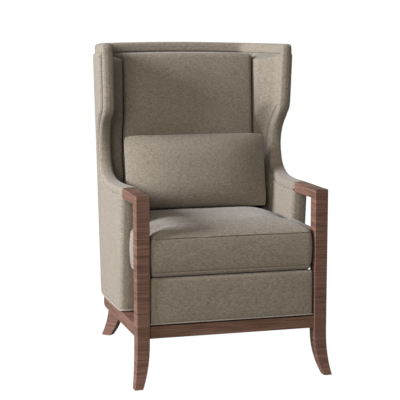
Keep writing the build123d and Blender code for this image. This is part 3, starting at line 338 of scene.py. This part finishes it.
def side_cover(name, s):
    verts, faces = [], []

    def put(grid):
        base = sum(len(v) for v in verts)
        n, m = grid.shape[:2]
        verts.append(to_world(grid, s).reshape(-1, 3))
        faces.extend(grid_faces(n, m, base=base))

    zl = np.concatenate(([209, 210, 211.5, 214, 218, 224], np.linspace(232, Z_SPLIT, 32)))

    def outer(h, z, d, front=None):
        off = dip(d, PROUD_OUT) + bottom_roll(z)
        return surf(h, z, 0) + normal_out(h, z) * off[..., None]

    def inner(h, z, d, front=None):
        q = surf(h, z, 1)
        swell = smooth01((h - 455.0) / 120.0) * (1 - smooth01((h - 640.0) / 80.0)) * smooth01((z - 480.0) / 110.0)
        if front is not None:
            swell = swell * smooth01(front / 48.0) * smooth01((Z_TOP - 36.0 - z) / 20.0)
        off = dip(d, PROUD_IN) + bottom_roll(z) + 0.97 * np.clip(q[..., 0] - 251.0, 0, None) * swell
        return q + normal_in(h, z) * off[..., None]

    # rounded arm front
    zf = np.concatenate((zl, np.linspace(Z_SPLIT, 628.0, 11)[1:]))
    ring = []
    a = np.linspace(0, math.pi / 2, 10)
    hfz = arm_front(np.minimum(zf, ARM_Z))
    o = surf(hfz + R_ARM, zf, 0) + normal_out(hfz + R_ARM, zf) * (PROUD_OUT + bottom_roll(zf))[:, None]
    i = surf(hfz + R_ARM, zf, 1) + normal_in(hfz + R_ARM, zf) * (PROUD_IN + bottom_roll(zf))[:, None]
    for t in a:
        p = o.copy()
        p[:, 0] -= R_ARM * (1 - math.cos(t))
        p[:, 1] -= R_ARM * math.sin(t)
        ring.append(p)
    fo, fi = o.copy(), i.copy()
    fo[:, 0] -= R_ARM
    fi[:, 0] += R_ARM
    fo[:, 1] -= R_ARM
    fi[:, 1] -= R_ARM
    for f in (0.25, 0.5, 0.75):
        p = lerp(fo, fi, f)
        p[:, 1] -= 1.2 * math.sin(math.pi * f)
        ring.append(p)
    for t in a[::-1]:
        p = i.copy()
        p[:, 0] += R_ARM * (1 - math.cos(t))
        p[:, 1] -= R_ARM * math.sin(t)
        ring.append(p)
    put(np.stack(ring, 1))
    # turned-under edges of the arm front
    k = zf >= Z_SPLIT
    for edge0, sign in ((o, -1.0), (i, 1.0)):
        under = edge0[k] + np.array((sign * 1.2, 6.0, 0.0))
        put(np.stack((edge0[k], under), 1))
    # upper outside and inside, from the band's seams back to the rear seams
    near = np.array([0, 1.1, 2.3, 3.6, 5.2, 7.4, 10.5, 15.0, 22.0])
    for which, u, back, put_on in ((0, SEAM_OUT, Y_SEAM, outer), (1, SEAM_IN, Y_SEAM_IN, inner)):
        seam = inset(u)
        h0 = 202.6 + R_ARM
        tip = np.array((H_C + u[0, N_WING], Z_TOP - u[1, N_WING]))
        c = seam[:N_WING]
        c = c[(c[:, 0] > h0 + 1.0) & (c[:, 1] < tip[1] - 26.0)]
        c = np.vstack(([(h0, c[0, 1])], c, np.stack((np.full(9, tip[0]), tip[1] - near[::-1]), -1)))
        line = np.vstack((seam[:N_WING][seam[:N_WING, 1] < tip[1] - 26.0], tip))
        run = np.concatenate(([0.0], np.cumsum(np.hypot(*np.diff(c, axis=0).T))))
        zt = tip[1]
        # the rows end along the split line and then up the rear seam
        at_arm = run[np.argmax(c[:, 0] > 430.0)]
        at_notch = run[np.argmax(c[:, 1] > 735.0)]
        low = run[np.argmax(c[:, 1] > zt - 26.0)]
        key = [0.0, at_arm, at_notch, low, run[-1]]
        hb = float(arm_front(Z_SPLIT)) + R_ARM
        dpt = np.stack((np.interp(run, key, [hb, 520.0, back, back, back]),
                        np.interp(run, key, [Z_SPLIT, Z_SPLIT, Z_SPLIT, zt - 26.0, zt])), -1)
        # lower part, on the same columns
        k = int(np.argmax(c[:, 1] > 735.0))
        hl = np.unique(np.concatenate((dpt[:k + 1, 0], back - near[1:])))
        zz, uu = np.meshgrid(zl, (back - hl) / (back - hb), indexing="ij")
        hh = lerp(back, arm_front(zz) + R_ARM, uu)
        put(put_on(hh, zz, back - hh))
        grid = []
        for p, q in zip(dpt, c):
            ln = np.linalg.norm(q - p)
            t = np.concatenate((near, np.linspace(22.0, ln - 22.0, 32)[1:-1], ln - near[::-1])) / ln
            grid.append(p + (q - p) * t[:, None])
        grid = np.array(grid)
        hh2, zz2 = grid[..., 0], grid[..., 1]
        flat = grid.reshape(-1, 2)
        e0, e1 = line[:-1], line[1:]
        ev = e1 - e0
        t = np.einsum("ijk,jk->ij", flat[:, None, :] - e0[None], ev) / np.sum(ev * ev, 1)[None]
        gap = flat[:, None, :] - (e0[None] + np.clip(t, 0, 1)[..., None] * ev[None])
        dfront = np.sqrt(np.min(np.sum(gap ** 2, -1), 1)).reshape(hh2.shape)
        d = np.minimum(np.minimum(dfront, back - hh2), zt - zz2)
        # the top seam follows the slight rise of the top edge
        rise = np.interp(hh2, PATH[N_WING + N_CORNER:, 0], PATH[N_WING + N_CORNER:, 1]) - Z_TOP
        zz2 = zz2 + rise * np.clip((zz2 - Z_SPLIT) / (zt - Z_SPLIT), 0, 1) ** 3
        put(put_on(hh2, zz2, np.maximum(d, 0), dfront))
    o = mesh_object(name, np.vstack(verts), faces, merge=0.00005)
    return o


def back_cover(name, inside, h0, z0, zt, proud):
    hs = np.concatenate((h0 + np.array([0, 1.1, 2.3, 3.6, 5.2, 7.4, 10.5, 15, 22]), np.linspace(h0 + 34, H_MID, 46)))
    zs = np.concatenate((z0 + np.array([0, 1, 2.5, 5, 9, 15]), np.linspace(z0 + 24, zt - 20, 60), zt - np.array([15, 10.5, 7.4, 5.2, 3.6, 2.3, 1.1, 0])))
    zz, hh = np.meshgrid(zs, hs, indexing="ij")
    lift = (z_top(hs) - Z_TOP)[None, :] * ((zz - z0) / (zt - z0))
    d = np.minimum(hh - h0, zt - zz)
    off = dip(d, proud)
    if not inside:
        off = off + bottom_roll(zz)
    zz = zz + lift
    nrm = normal_in(hh, zz) if inside else normal_out(hh, zz)
    half = surf(hh, zz, int(inside)) + nrm * off[..., None]
    mir = half.copy()
    mir[..., 0] *= -1
    full = np.concatenate((mir, half[:, -2::-1]), 1)
    n, m = full.shape[:2]
    return mesh_object(name, to_world(full), grid_faces(n, m))


def fix_side(o, inside_out):
    """Turn an open cover so that its faces look away from the padding."""
    bm = bmesh.new()
    bm.from_mesh(o.data)
    n = sum(f.normal.dot(inside_out(f.calc_center_median())) * f.calc_area() for f in bm.faces)
    if n < 0:
        bmesh.ops.reverse_faces(bm, faces=bm.faces)
        bm.to_mesh(o.data)
    bm.free()


# --------------------------------------------------------------------------
# Rounded cushions
# --------------------------------------------------------------------------
def rounded_block(name, half, r, n, shape):
    """Closed block with rounded edges; shape moves its points (local mm) to their place."""
    pts, faces = [], []
    key = {}

    def vert(p):
        k = tuple(np.round(p, 6))
        if k not in key:
            key[k] = len(pts)
            pts.append(p)
        return key[k]

    for ax in range(3):
        for sg in (-1, 1):
            a, b = (ax + 1) % 3, (ax + 2) % 3
            ga, gb = [np.concatenate((-1 + np.linspace(0, 1, 7)[:-1] * r / half[q],
                                      np.linspace(-1 + r / half[q], 1 - r / half[q], n[q]),
                                      1 - np.linspace(1, 0, 7)[1:] * r / half[q])) for q in (a, b)]
            idx = np.zeros((len(ga), len(gb)), int)
            for i, u in enumerate(ga):
                for j, v in enumerate(gb):
                    p = np.zeros(3)
                    p[ax], p[a], p[b] = sg * half[ax], u * half[a], v * half[b]
                    idx[i, j] = vert(p)
            for i in range(len(ga) - 1):
                for j in range(len(gb) - 1):
                    q = (idx[i, j], idx[i + 1, j], idx[i + 1, j + 1], idx[i, j + 1])
                    faces.append(q if sg > 0 else q[::-1])
    p = np.array(pts)
    core = np.clip(p, -np.array(half) + r, np.array(half) - r)
    d = p - core
    ln = np.linalg.norm(d, axis=1, keepdims=True)
    k = np.where(ln > 1e-9, r / np.maximum(ln, 1e-9), 0)
    p = core + d * np.minimum(k, 1.0)
    return mesh_object(name, to_world(shape(p)), faces)


def wobble(p, amp, scale):
    """Slow unevenness of stuffed cloth, always the same."""
    x, y, z = p[:, 0] / scale, p[:, 1] / scale, p[:, 2] / scale
    return amp * (np.sin(1.7 * x + 0.6 * z + 0.3) * np.cos(1.3 * z - 0.8 * y) + 0.6 * np.sin(2.9 * x - 1.1 * y + 2.1 * z))


def front_panel():
    h = (287.3, 12.6, 78.2)

    def shape(p):
        q = p.copy()
        fx = 1 - (p[:, 0] / h[0]) ** 6
        fz = 1 - (p[:, 2] / h[2]) ** 4
        front = np.clip(-p[:, 1] / h[1], 0, 1)
        q[:, 1] -= 3.4 * front * np.clip(fx, 0, 1) * np.clip(fz, 0, 1)
        q[:, 1] += 20.2 - 0.4
        q[:, 2] += 288.2
        return q

    return rounded_block("front_panel_cover", h, 10.5, (60, 3, 18), shape)


def tube(name, line, r, k=10):
    """Closed round cord along a level line."""
    line = np.asarray(line, float)
    t = np.gradient(line, axis=0)
    t /= np.linalg.norm(t, axis=1, keepdims=True)
    side = np.stack((t[:, 1], -t[:, 0], np.zeros(len(t))), -1)
    a = np.linspace(0, 2 * math.pi, k, endpoint=False)
    ring = line[:, None, :] + r * (side[:, None, :] * np.cos(a)[None, :, None]
                                   + np.array((0, 0, 1.0)) * np.sin(a)[None, :, None])
    n = len(line)
    faces = grid_faces(n, k, wrap_v=True)
    faces.append(tuple(range(k)))
    faces.append(tuple(range(n * k - 1, (n - 1) * k - 1, -1)))
    return mesh_object(name, to_world(ring), faces)


Z_WELT = 213.0


def front_welt():
    x = np.linspace(-288.0, 288.0, 92)
    y = 9.2 - 1.2 * np.clip(1 - (x / 287.3) ** 6, 0, 1)
    return tube("front_welt", np.stack((x, y, np.full_like(x, Z_WELT)), -1), 2.3)


def shell_welt():
    z = Z_WELT
    hf = float(arm_front(z)) + R_ARM
    o = surf(hf, z, 0) + np.array((0.6, 0, 0))
    i = surf(hf, z, 1) - np.array((0.6, 0, 0))
    a = np.linspace(0, math.pi / 2, 10)
    r = R_ARM + 0.6
    half = [(i[0] + r * (1 - math.cos(t)), i[1] - r * math.sin(t), z) for t in a]
    half += [(o[0] - r * (1 - math.cos(t)), o[1] - r * math.sin(t), z) for t in a[::-1]]
    h = np.concatenate((np.linspace(hf + 6, 690, 60), np.linspace(694, H_MID, 60)))
    side = surf(h, np.full_like(h, z), 0) + normal_out(h, np.full_like(h, z)) * 0.6
    half = np.vstack((np.array(half), side))
    mir = half * np.array((-1, 1, 1))
    return tube("shell_welt", np.vstack((mir, half[-2::-1])), 2.1)


def seat_side(side, s):
    """Padded cloth over the seat rail where the open arm shows it."""
    lo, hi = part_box("seat_rail_" + side)
    x0 = max(abs(lo[0]), abs(hi[0])) * 1000.0
    h = (4.6, 99.0, 76.6)

    def shape(p):
        q = p.copy()
        fy = np.clip(1 - np.abs(p[:, 1] / h[1]) ** 6, 0, 1)
        fz = np.clip(1 - np.abs(p[:, 2] / h[2]) ** 4, 0, 1)
        q[:, 0] = s * (x0 + 0.4 + h[0] + p[:, 0] + 1.6 * fy * fz * np.clip(p[:, 0] / h[0], 0, 1))
        q[:, 1] += 135.0
        q[:, 1] -= np.clip(p[:, 1] / h[1], 0, 1) * 8.0 * (p[:, 2] / h[2])
        q[:, 2] += 286.4
        return q

    return rounded_block("seat_side_cover_" + side, h, 4.4, (3, 26, 20), shape)


def back_cushion():
    h = (248.0, 84.0, 365.5)

    def shape(p):
        q = p.copy()
        fx = np.clip(1 - np.abs(p[:, 0] / h[0]) ** 3.2, 0, 1)
        fz = np.clip(1 - np.abs(p[:, 2] / h[2]) ** 5, 0, 1)
        front = np.clip(-p[:, 1] / h[1], 0, 1)
        t = (p[:, 2] + h[2]) / (2 * h[2])
        yf, yb = lerp(509.0, 557.0, t), lerp(680.0, 711.0, t)
        s = (p[:, 1] + h[1]) / (2 * h[1])
        q[:, 1] = lerp(yf, yb, s) - 9.0 * front * fx * fz - 0.8 * front * wobble(p, 1.0, 90.0)
        # edges draw in a little between the corners
        q[:, 0] -= np.sign(p[:, 0]) * 2.0 * fz * np.clip(np.abs(p[:, 0]) / h[0], 0, 1) ** 4
        q[:, 2] += 732.0
        top = np.clip(p[:, 2] / h[2], 0, 1) ** 6
        q[:, 2] += top * (-3.0 * (1 - fx) + 1.0)
        return q

    return rounded_block("back_cushion", h, 17.0, (52, 16, 74), shape)


def t_outline(o):
    """Rounded T-shaped plan of the seat cushion as a closed loop."""
    half, ear, body = 287.0 - o, 318.0 - o, 272.5 - o
    y0, y1, y2, y3 = 2.0 + o, 52.0 + o, 196.0 - o, 500.0 - o
    pts = [((0, y0), 0), ((half, y0), 16), ((half, y1), 5), ((ear, y1), 16), ((ear, y2), 16), ((body, y2), 8),
           ((body, y3), 30), ((0, y3), 0)]
    out = []
    for i, (p, r) in enumerate(pts):
        p = np.array(p, float)
        if r == 0:
            out.append(p)
            continue
        a, b = np.array(pts[i - 1][0], float), np.array(pts[i + 1][0], float)
        da, db = (a - p) / np.linalg.norm(a - p), (b - p) / np.linalg.norm(b - p)
        r = min(r, 0.49 * np.linalg.norm(a - p), 0.49 * np.linalg.norm(b - p))
        for t in np.linspace(0, 1, 9):
            out.append((1 - t) ** 2 * (p + da * r) + 2 * t * (1 - t) * p + t ** 2 * (p + db * r))
    out = np.array(out)
    return np.vstack((out, out[-2:0:-1] * np.array((-1, 1))))


def resample(loop, n):
    c = np.vstack((loop, loop[:1]))
    run = np.concatenate(([0.0], np.cumsum(np.hypot(*np.diff(c, axis=0).T))))
    s = np.linspace(0, run[-1], n, endpoint=False)
    return np.stack((np.interp(s, run, c[:, 0]), np.interp(s, run, c[:, 1])), -1)


def loop_normals(loop):
    t = np.roll(loop, -1, 0) - np.roll(loop, 1, 0)
    t /= np.linalg.norm(t, axis=1, keepdims=True)
    return np.stack((t[:, 1], -t[:, 0]), -1)


def seat_cushion():
    n = 620
    base = resample(t_outline(5.0), n)
    nrm = loop_normals(base)
    if np.sum(base[:, 0] * nrm[:, 0]) < 0:
        nrm = -nrm
    zs_top, zs_bot, z_bot = 497.0, 383.0, 368.4
    back = smooth01((base[:, 1] - 60.0) / 330.0)
    sides = smooth01((np.abs(base[:, 0]) - 200) / 100.0) * smooth01((base[:, 1] - 200) / 60.0)
    seam = zs_top + 14.0 * back + 0.0 * sides
    ear = smooth01((np.abs(base[:, 0]) - 280.0) / 25.0)
    seam = seam - 2.0 * ear
    rings = []
    cy = np.where(base[:, 1] <= 200, 124.0, 124.0 + (base[:, 1] - 200) * 0.74)
    cen = np.stack((0.25 * base[:, 0], cy), -1)

    def dist(p):
        a, b = base, np.roll(base, -1, 0)
        ab = b - a
        t = np.einsum("ijk,jk->ij", p[:, None, :] - a[None], ab) / np.sum(ab * ab, 1)[None]
        q = a[None] + np.clip(t, 0, 1)[..., None] * ab[None]
        return np.sqrt(np.min(np.sum((p[:, None, :] - q) ** 2, -1), 1))

    # crowned top, from the middle out
    for f in np.concatenate((np.linspace(0.0, 0.86, 22), [0.9, 0.93, 0.955, 0.972, 0.984, 0.992])):
        p = lerp(cen, base, f)
        d = dist(p)
        full = (1 - np.exp(-d / 62.0)) * 40.0 + 4.5 * (1 - np.exp(-d / 5.0))
        fall = 1 - 0.40 * smooth01((p[:, 1] - 300.0) / 200.0)
        z = lerp(zs_top + 14.0 * smooth01((p[:, 1] - 60.0) / 330.0), seam, f) + full * fall
        z = np.minimum(z, 539.5)
        q = np.column_stack((p, z))
        q[:, 2] += wobble(q, 0.5, 70.0)
        rings.append(q)
    for off, dz in ((-1.6, 1.6), (-0.6, 0.4), (-2.8, -0.4), (-3.6, -1.2), (-0.9, -2.2), (0.2, -4.2)):
        rings.append(np.column_stack((base + nrm * off, seam + dz)))
    for f in np.linspace(0.06, 0.94, 13):
        z = lerp(seam - 4.2, np.full(n, zs_bot + 4.2), f)
        b = 0.2 + 4.6 * math.sin(math.pi * f) ** 0.8
        rings.append(np.column_stack((base + nrm * b, z)))
    for off, z in ((0.2, 4.2), (-0.9, 2.2), (-3.6, 1.0), (-2.6, 0.2), (-0.8, -0.8), (-1.2, -3.0), (-2.2, -6.5), (-4.6, -10.4),
                   (-8.6, -13.2), (-15.0, -14.6)):
        rings.append(np.column_stack((base + nrm * off, np.full(n, zs_bot + z))))
    for f in (0.75, 0.4, 0.0):
        rings.append(np.column_stack((lerp(cen, base, f * 0.9), np.full(n, z_bot))))
    r = np.stack(rings, 0)
    faces = grid_faces(r.shape[0], n, wrap_v=True)
    faces.append(tuple(range(n - 1, -1, -1)))
    faces.append(tuple((r.shape[0] - 1) * n + k for k in range(n)))
    return mesh_object("seat_cushion", to_world(r), faces)


PIL_LEAN = math.radians(9.0)


def pillow():
    n = 72
    w, hgt = 268.0, 135.0
    up = np.array((0, math.sin(PIL_LEAN), math.cos(PIL_LEAN)))
    fr = np.array((0, -math.cos(PIL_LEAN), math.sin(PIL_LEAN)))
    org = np.array((0, 438.0, 537.0)) + up * hgt
    g = np.sin(np.linspace(-1, 1, n) * math.pi / 2)
    a, b = np.meshgrid(g, np.sin(np.linspace(-1, 1, 46) * math.pi / 2), indexing="ij")
    # outline: corners rounded, long sides drawn in slightly between them
    ex = a * np.sqrt(np.clip(1 - 0.06 * b ** 8, 0, 1)) * (1 - 0.012 * (1 - b ** 2))
    ey = b * np.sqrt(np.clip(1 - 0.09 * a ** 10, 0, 1)) * (1 - 0.012 * (1 - a ** 2))
    fullness = (np.clip(1 - np.abs(a) ** 2.6, 0, 1) ** 0.85) * (np.clip(1 - np.abs(b) ** 2.7, 0, 1) ** 0.64)
    low = 1 - 0.10 * b
    # the lower corners hang a little where the crowned seat falls away
    droop = 7.0 * np.clip(-b, 0, 1) ** 2 * np.abs(a) ** 4
    pts, faces = [], []
    for sg, t in ((1, 52.0), (-1, 38.0)):
        p = (org[None, None] + np.array((1, 0, 0)) * (ex * w)[..., None] + up * (ey * hgt - droop)[..., None]
             + fr * (sg * (1.2 + t * fullness * low))[..., None])
        base = sum(len(q) for q in pts)
        pts.append(p.reshape(-1, 3))
        f = grid_faces(n, 46, base=base)
        faces += f if sg < 0 else [q[::-1] for q in f]
    # close the knife edge with a thin seam
    m = 46
    rim = [i * m for i in range(n)] + [(n - 1) * m + j for j in range(1, m)] + \
          [i * m + m - 1 for i in range(n - 2, -1, -1)] + [j for j in range(m - 2, 0, -1)]
    off = n * m
    for k in range(len(rim)):
        p, q = rim[k], rim[(k + 1) % len(rim)]
        faces.append((p, q, q + off, p + off))
    return mesh_object("lumbar_pillow", to_world(np.vstack(pts)), faces)


# --------------------------------------------------------------------------
# Materials
# --------------------------------------------------------------------------
def new_material(name, rough, spec=0.3):
    m = bpy.data.materials.new(name)
    m.use_nodes = True
    nt = m.node_tree
    bsdf = nt.nodes["Principled BSDF"]
    bsdf.inputs["Roughness"].default_value = rough
    bsdf.inputs["Specular IOR Level"].default_value = spec
    tc = nt.nodes.new("ShaderNodeTexCoord")
    return m, nt, bsdf, tc


def noise(nt, vec, scale, detail=3.0, rough=0.55, dist=0.0):
    n = nt.nodes.new("ShaderNodeTexNoise")
    n.inputs["Scale"].default_value = scale
    n.inputs["Detail"].default_value = detail
    n.inputs["Roughness"].default_value = rough
    n.inputs["Distortion"].default_value = dist
    nt.links.new(vec, n.inputs["Vector"])
    return n


def mapping(nt, tc, scale):
    mp = nt.nodes.new("ShaderNodeMapping")
    mp.inputs["Scale"].default_value = scale
    nt.links.new(tc.outputs["Object"], mp.inputs["Vector"])
    return mp.outputs["Vector"]


def ramp(nt, fac, stops):
    r = nt.nodes.new("ShaderNodeValToRGB")
    els = r.color_ramp.elements
    while len(els) < len(stops):
        els.new(0.5)
    for e, (p, c) in zip(els, stops):
        e.position = p
        e.color = (*c, 1.0)
    nt.links.new(fac, r.inputs["Fac"])
    return r.outputs["Color"]


def mix(nt, kind, fac, a, b):
    m = nt.nodes.new("ShaderNodeMix")
    m.data_type = "RGBA"
    m.blend_type = kind
    m.inputs["Factor"].default_value = fac
    nt.links.new(a, m.inputs["A"])
    nt.links.new(b, m.inputs["B"])
    return m.outputs["Result"]


def tweed(name, base, spread=1.0, bump=0.18):
    """Woven tweed: flecked yarn over a fine weave."""
    m, nt, bsdf, tc = new_material(name, 0.92, 0.12)
    b = np.array(base)
    vec = tc.outputs["Object"]
    weft = noise(nt, mapping(nt, tc, (110.0, 110.0, 470.0)), 1.0, 2.0, 0.6)
    warp = noise(nt, mapping(nt, tc, (470.0, 470.0, 110.0)), 1.0, 2.0, 0.6)
    fleck = noise(nt, vec, 420.0, 2.0, 0.6)
    cloud = noise(nt, vec, 9.0, 2.0, 0.5)
    k = spread
    c1 = ramp(nt, weft.outputs["Fac"], [(0.30, b * (1 - 0.29 * k)), (0.50, b), (0.70, b * (1 + 0.29 * k))])
    c2 = ramp(nt, warp.outputs["Fac"], [(0.30, np.full(3, 1 - 0.27 * k)), (0.5, np.full(3, 0.97)), (0.70, np.full(3, 1.0))])
    c4 = ramp(nt, fleck.outputs["Fac"], [(0.34, np.full(3, 1 - 0.14 * k)), (0.5, np.full(3, 1.0)), (0.72, np.full(3, 1.0))])
    c3 = ramp(nt, cloud.outputs["Fac"], [(0.3, np.full(3, 0.95)), (0.7, np.full(3, 1.0))])
    col = mix(nt, "MULTIPLY", 1.0, mix(nt, "MULTIPLY", 1.0, mix(nt, "MULTIPLY", 1.0, c1, c2), c4), c3)
    nt.links.new(col, bsdf.inputs["Base Color"])
    bsdf.inputs["Sheen Weight"].default_value = 0.12
    bsdf.inputs["Sheen Roughness"].default_value = 0.5
    weave = noise(nt, vec, 620.0, 2.0, 0.5)
    bm = nt.nodes.new("ShaderNodeBump")
    bm.inputs["Strength"].default_value = bump
    bm.inputs["Distance"].default_value = 0.0009
    nt.links.new(weave.outputs["Fac"], bm.inputs["Height"])
    nt.links.new(bm.outputs["Normal"], bsdf.inputs["Normal"])
    return m


def walnut(name, dark, mid, light):
    """Stained wood with fine cross streaks and pores."""
    m, nt, bsdf, tc = new_material(name, 0.56, 0.20)
    streak = noise(nt, mapping(nt, tc, (7.0, 7.0, 210.0)), 1.0, 4.0, 0.62, 0.3)
    broad = noise(nt, mapping(nt, tc, (5.0, 5.0, 34.0)), 1.0, 3.0, 0.5)
    pore = noise(nt, mapping(nt, tc, (60.0, 60.0, 260.0)), 1.0, 1.0, 0.5)
    c1 = ramp(nt, streak.outputs["Fac"], [(0.30, dark), (0.5, mid), (0.72, light)])
    c2 = ramp(nt, broad.outputs["Fac"], [(0.3, (0.86, 0.84, 0.84)), (0.7, (1.0, 1.0, 1.0))])
    c3 = ramp(nt, pore.outputs["Fac"], [(0.20, (0.45, 0.42, 0.42)), (0.30, (1.0, 1.0, 1.0))])
    nt.links.new(mix(nt, "MULTIPLY", 1.0, mix(nt, "MULTIPLY", 1.0, c1, c2), c3), bsdf.inputs["Base Color"])
    bm = nt.nodes.new("ShaderNodeBump")
    bm.inputs["Strength"].default_value = 0.12
    bm.inputs["Distance"].default_value = 0.0006
    nt.links.new(streak.outputs["Fac"], bm.inputs["Height"])
    nt.links.new(bm.outputs["Normal"], bsdf.inputs["Normal"])
    return m


def speckled(name, base, rough, scale, amount=0.2, metal=0.0, spec=0.4):
    m, nt, bsdf, tc = new_material(name, rough, spec)
    b = np.array(base)
    n = noise(nt, tc.outputs["Object"], scale, 3.0)
    nt.links.new(ramp(nt, n.outputs["Fac"], [(0.3, b * (1 - amount)), (0.7, np.minimum(b * (1 + amount), 1))]),
                 bsdf.inputs["Base Color"])
    bsdf.inputs["Metallic"].default_value = metal
    return m


FABRIC = tweed("tweed_greige", (0.218, 0.183, 0.144))
# Welt cord cloth: the cords are real geometry, but their base colour is made lighter than the main tweed as a
# painted highlight along them.
WELT_PAINTED_HIGHLIGHT = tweed("tweed_welt_painted_highlight", (0.30, 0.265, 0.215), 0.6)
WOOD = walnut("walnut_stained", (0.074, 0.037, 0.026), (0.134, 0.070, 0.050), (0.205, 0.112, 0.082))
RAW = walnut("frame_wood", (0.38, 0.27, 0.16), (0.50, 0.37, 0.23), (0.60, 0.46, 0.30))
STEEL = speckled("zinc_steel", (0.50, 0.50, 0.52), 0.35, 300.0, 0.12, 1.0)
GLIDE = speckled("nylon_glide", (0.03, 0.03, 0.03), 0.5, 200.0)
CLOTH = speckled("deck_cloth", (0.055, 0.05, 0.045), 0.9, 500.0, 0.3, 0.0, 0.1)
FOAM = speckled("foam", (0.75, 0.70, 0.58), 0.9, 260.0, 0.1, 0.0, 0.1)
ZIP = speckled("zip_tape", (0.06, 0.052, 0.042), 0.7, 400.0, 0.25)
BY_SLOT = {"show_wood": WOOD, "frame_wood": RAW, "steel": STEEL, "glide": GLIDE, "tweed": FABRIC, "welt": WELT_PAINTED_HIGHLIGHT,
           "deck_cloth": CLOTH, "filling": FOAM, "zip": ZIP}

slot_of = {s["node"]: s["material_slot"] for s in frame["record"]["subparts"]}
for name, o in nodes.items():
    o.data.materials.clear()
    o.data.materials.append(BY_SLOT[slot_of[name]])
# the ends of the front seat rail show beside the posts, with the cloth pulled over them
nodes["seat_rail_front"].data.materials[0] = FABRIC

# --------------------------------------------------------------------------
# Build the upholstery
# --------------------------------------------------------------------------
def dress(o, body, stands_for, material=FABRIC):
    o.data.materials.append(material)
    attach(o, body)
    if stands_for:
        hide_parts(*stands_for)
    return o


edge = band()
dress(edge, "chair_frame", ["wing_border_left", "wing_border_right", "top_border"])

for side, s in (("left", -1), ("right", 1)):
    o = side_cover("arm_and_wing_cover_" + side, s)

    def away(c, s=s):
        """Direction away from the middle of the wing's thickness."""
        h = min(max(c.y * 1000 + Y_MID, 260.0), 600.0)
        z = c.z * 1000
        mid = 0.5 * (surf(h, z, 0)[0] + surf(h, z, 1)[0])
        return Vector((1.0 if s * c.x * 1000 > mid else -1.0, 0, 0)) * s
    fix_side(o, away)
    solidify(o, 0.005)
    dress(seat_side(side, s), "chair_frame", [])
    dress(o, "chair_frame", ["outside_panel_" + side, "inside_panel_" + side, "arm_front_" + side,
                                "wing_pad_" + side])

o = back_cover("outside_back_cover", False, 700.4, 209.0, 1097.0, 2.6)
fix_side(o, lambda c: Vector((c.x, max(c.y, 0.0), 0)))
solidify(o, 0.005)
dress(o, "chair_frame", ["outside_back_panel"])
o = back_cover("inside_back_cover", True, 725.4, 326.0, 1095.0, 1.6)
fix_side(o, lambda c: Vector((-c.x, -1.0, 0)))
solidify(o, 0.005)
dress(o, "chair_frame", ["inside_back_panel"])

dress(front_panel(), "chair_frame", ["front_panel"])
# the welt cords wear the welt cloth, whose extra lightness is painted highlight
dress(front_welt(), "chair_frame", ["bottom_welt_front"], WELT_PAINTED_HIGHLIGHT)
dress(shell_welt(), "chair_frame", ["bottom_welt_shell"], WELT_PAINTED_HIGHLIGHT)
dress(back_cushion(), "chair_frame", ["back_cushion_cover", "back_cushion_foam"])
seat = seat_cushion()
group = seat.vertex_groups.new(name="crown")
group.add([v.index for v in seat.data.vertices if v.co.z > 0.526], 1.0, "REPLACE")
ease = seat.modifiers.new("ease", "SMOOTH")
ease.vertex_group = "crown"
ease.factor = 0.5
ease.iterations = 40
dress(seat, "seat_cushion", ["seat_cushion_cover", "seat_cushion_foam", "seat_cushion_zipper"])
dress(pillow(), "lumbar_pillow", ["lumbar_pillow_cover", "lumbar_pillow_fill", "lumbar_pillow_zipper"])

# --------------------------------------------------------------------------
# Floor, light and camera
# --------------------------------------------------------------------------
def floor():
    r = 300.0
    o = mesh_object("floor", np.array([(-r, -r, 0), (r, -r, 0), (r, r, 0), (-r, r, 0)]), [(0, 1, 2, 3)])
    m, nt, bsdf, tc = new_material("pale_floor", 0.9, 0.0)
    n = noise(nt, tc.outputs["Object"], 3.0, 2.0)
    nt.links.new(ramp(nt, n.outputs["Fac"], [(0.3, (0.088, 0.088, 0.088)), (0.7, (0.092, 0.092, 0.092))]), bsdf.inputs["Base Color"])
    bsdf.inputs["Emission Color"].default_value = (1.0, 1.0, 1.0, 1.0)
    bsdf.inputs["Emission Strength"].default_value = 0.975
    o.data.materials.append(m)
    # bright to the eye, but no lamp for the chair
    o.visible_diffuse = False
    o.visible_glossy = False


floor()
scene = bpy.context.scene
scene.view_settings.view_transform = "Standard"
world = bpy.data.worlds.new("studio")
scene.world = world
world.use_nodes = True
wn = world.node_tree
bg = wn.nodes["Background"]
bg.inputs["Color"].default_value = (1.0, 0.965, 0.91, 1.0)
lp = wn.nodes.new("ShaderNodeLightPath")
mr = wn.nodes.new("ShaderNodeMapRange")
mr.inputs["To Min"].default_value = 0.27
mr.inputs["To Max"].default_value = 1.12
wn.links.new(lp.outputs["Is Camera Ray"], mr.inputs["Value"])
wn.links.new(mr.outputs["Result"], bg.inputs["Strength"])

target = Vector((0, 0, 0.6))


def lamp(name, direction, distance, size, energy, color):
    light = bpy.data.lights.new(name, "AREA")
    light.shape = "SQUARE"
    light.size = size
    light.energy = energy
    light.color = color
    o = bpy.data.objects.new(name, light)
    d = Vector(direction).normalized()
    o.location = target + d * distance
    o.rotation_euler = d.to_track_quat("Z", "Y").to_euler()
    scene.collection.objects.link(o)


lamp("key", (-6.0, -0.88, 2.45), 6.0, 1.6, 770.0, (0.96, 1.01, 1.09))
lamp("fill", (-0.55, -0.80, 0.28), 6.0, 3.0, 200.0, (1.0, 0.97, 0.90))
lamp("rim", (0.9, 0.75, 0.45), 6.0, 3.0, 150.0, (1.0, 1.0, 1.0))

cam = bpy.data.cameras.new("camera")
cam.sensor_width = 36.0
cam.lens = 110.8
cam.clip_end = 2000.0
co = bpy.data.objects.new("camera", cam)
co.location = (-1.24355, (-3858.64 - Y_MID) / 1000.0, 1.15202)
co.rotation_euler = (math.radians(90 - 7.49), 0.0, math.radians(-16.248))
scene.collection.objects.link(co)
scene.camera = co

bpy.context.view_layer.update()
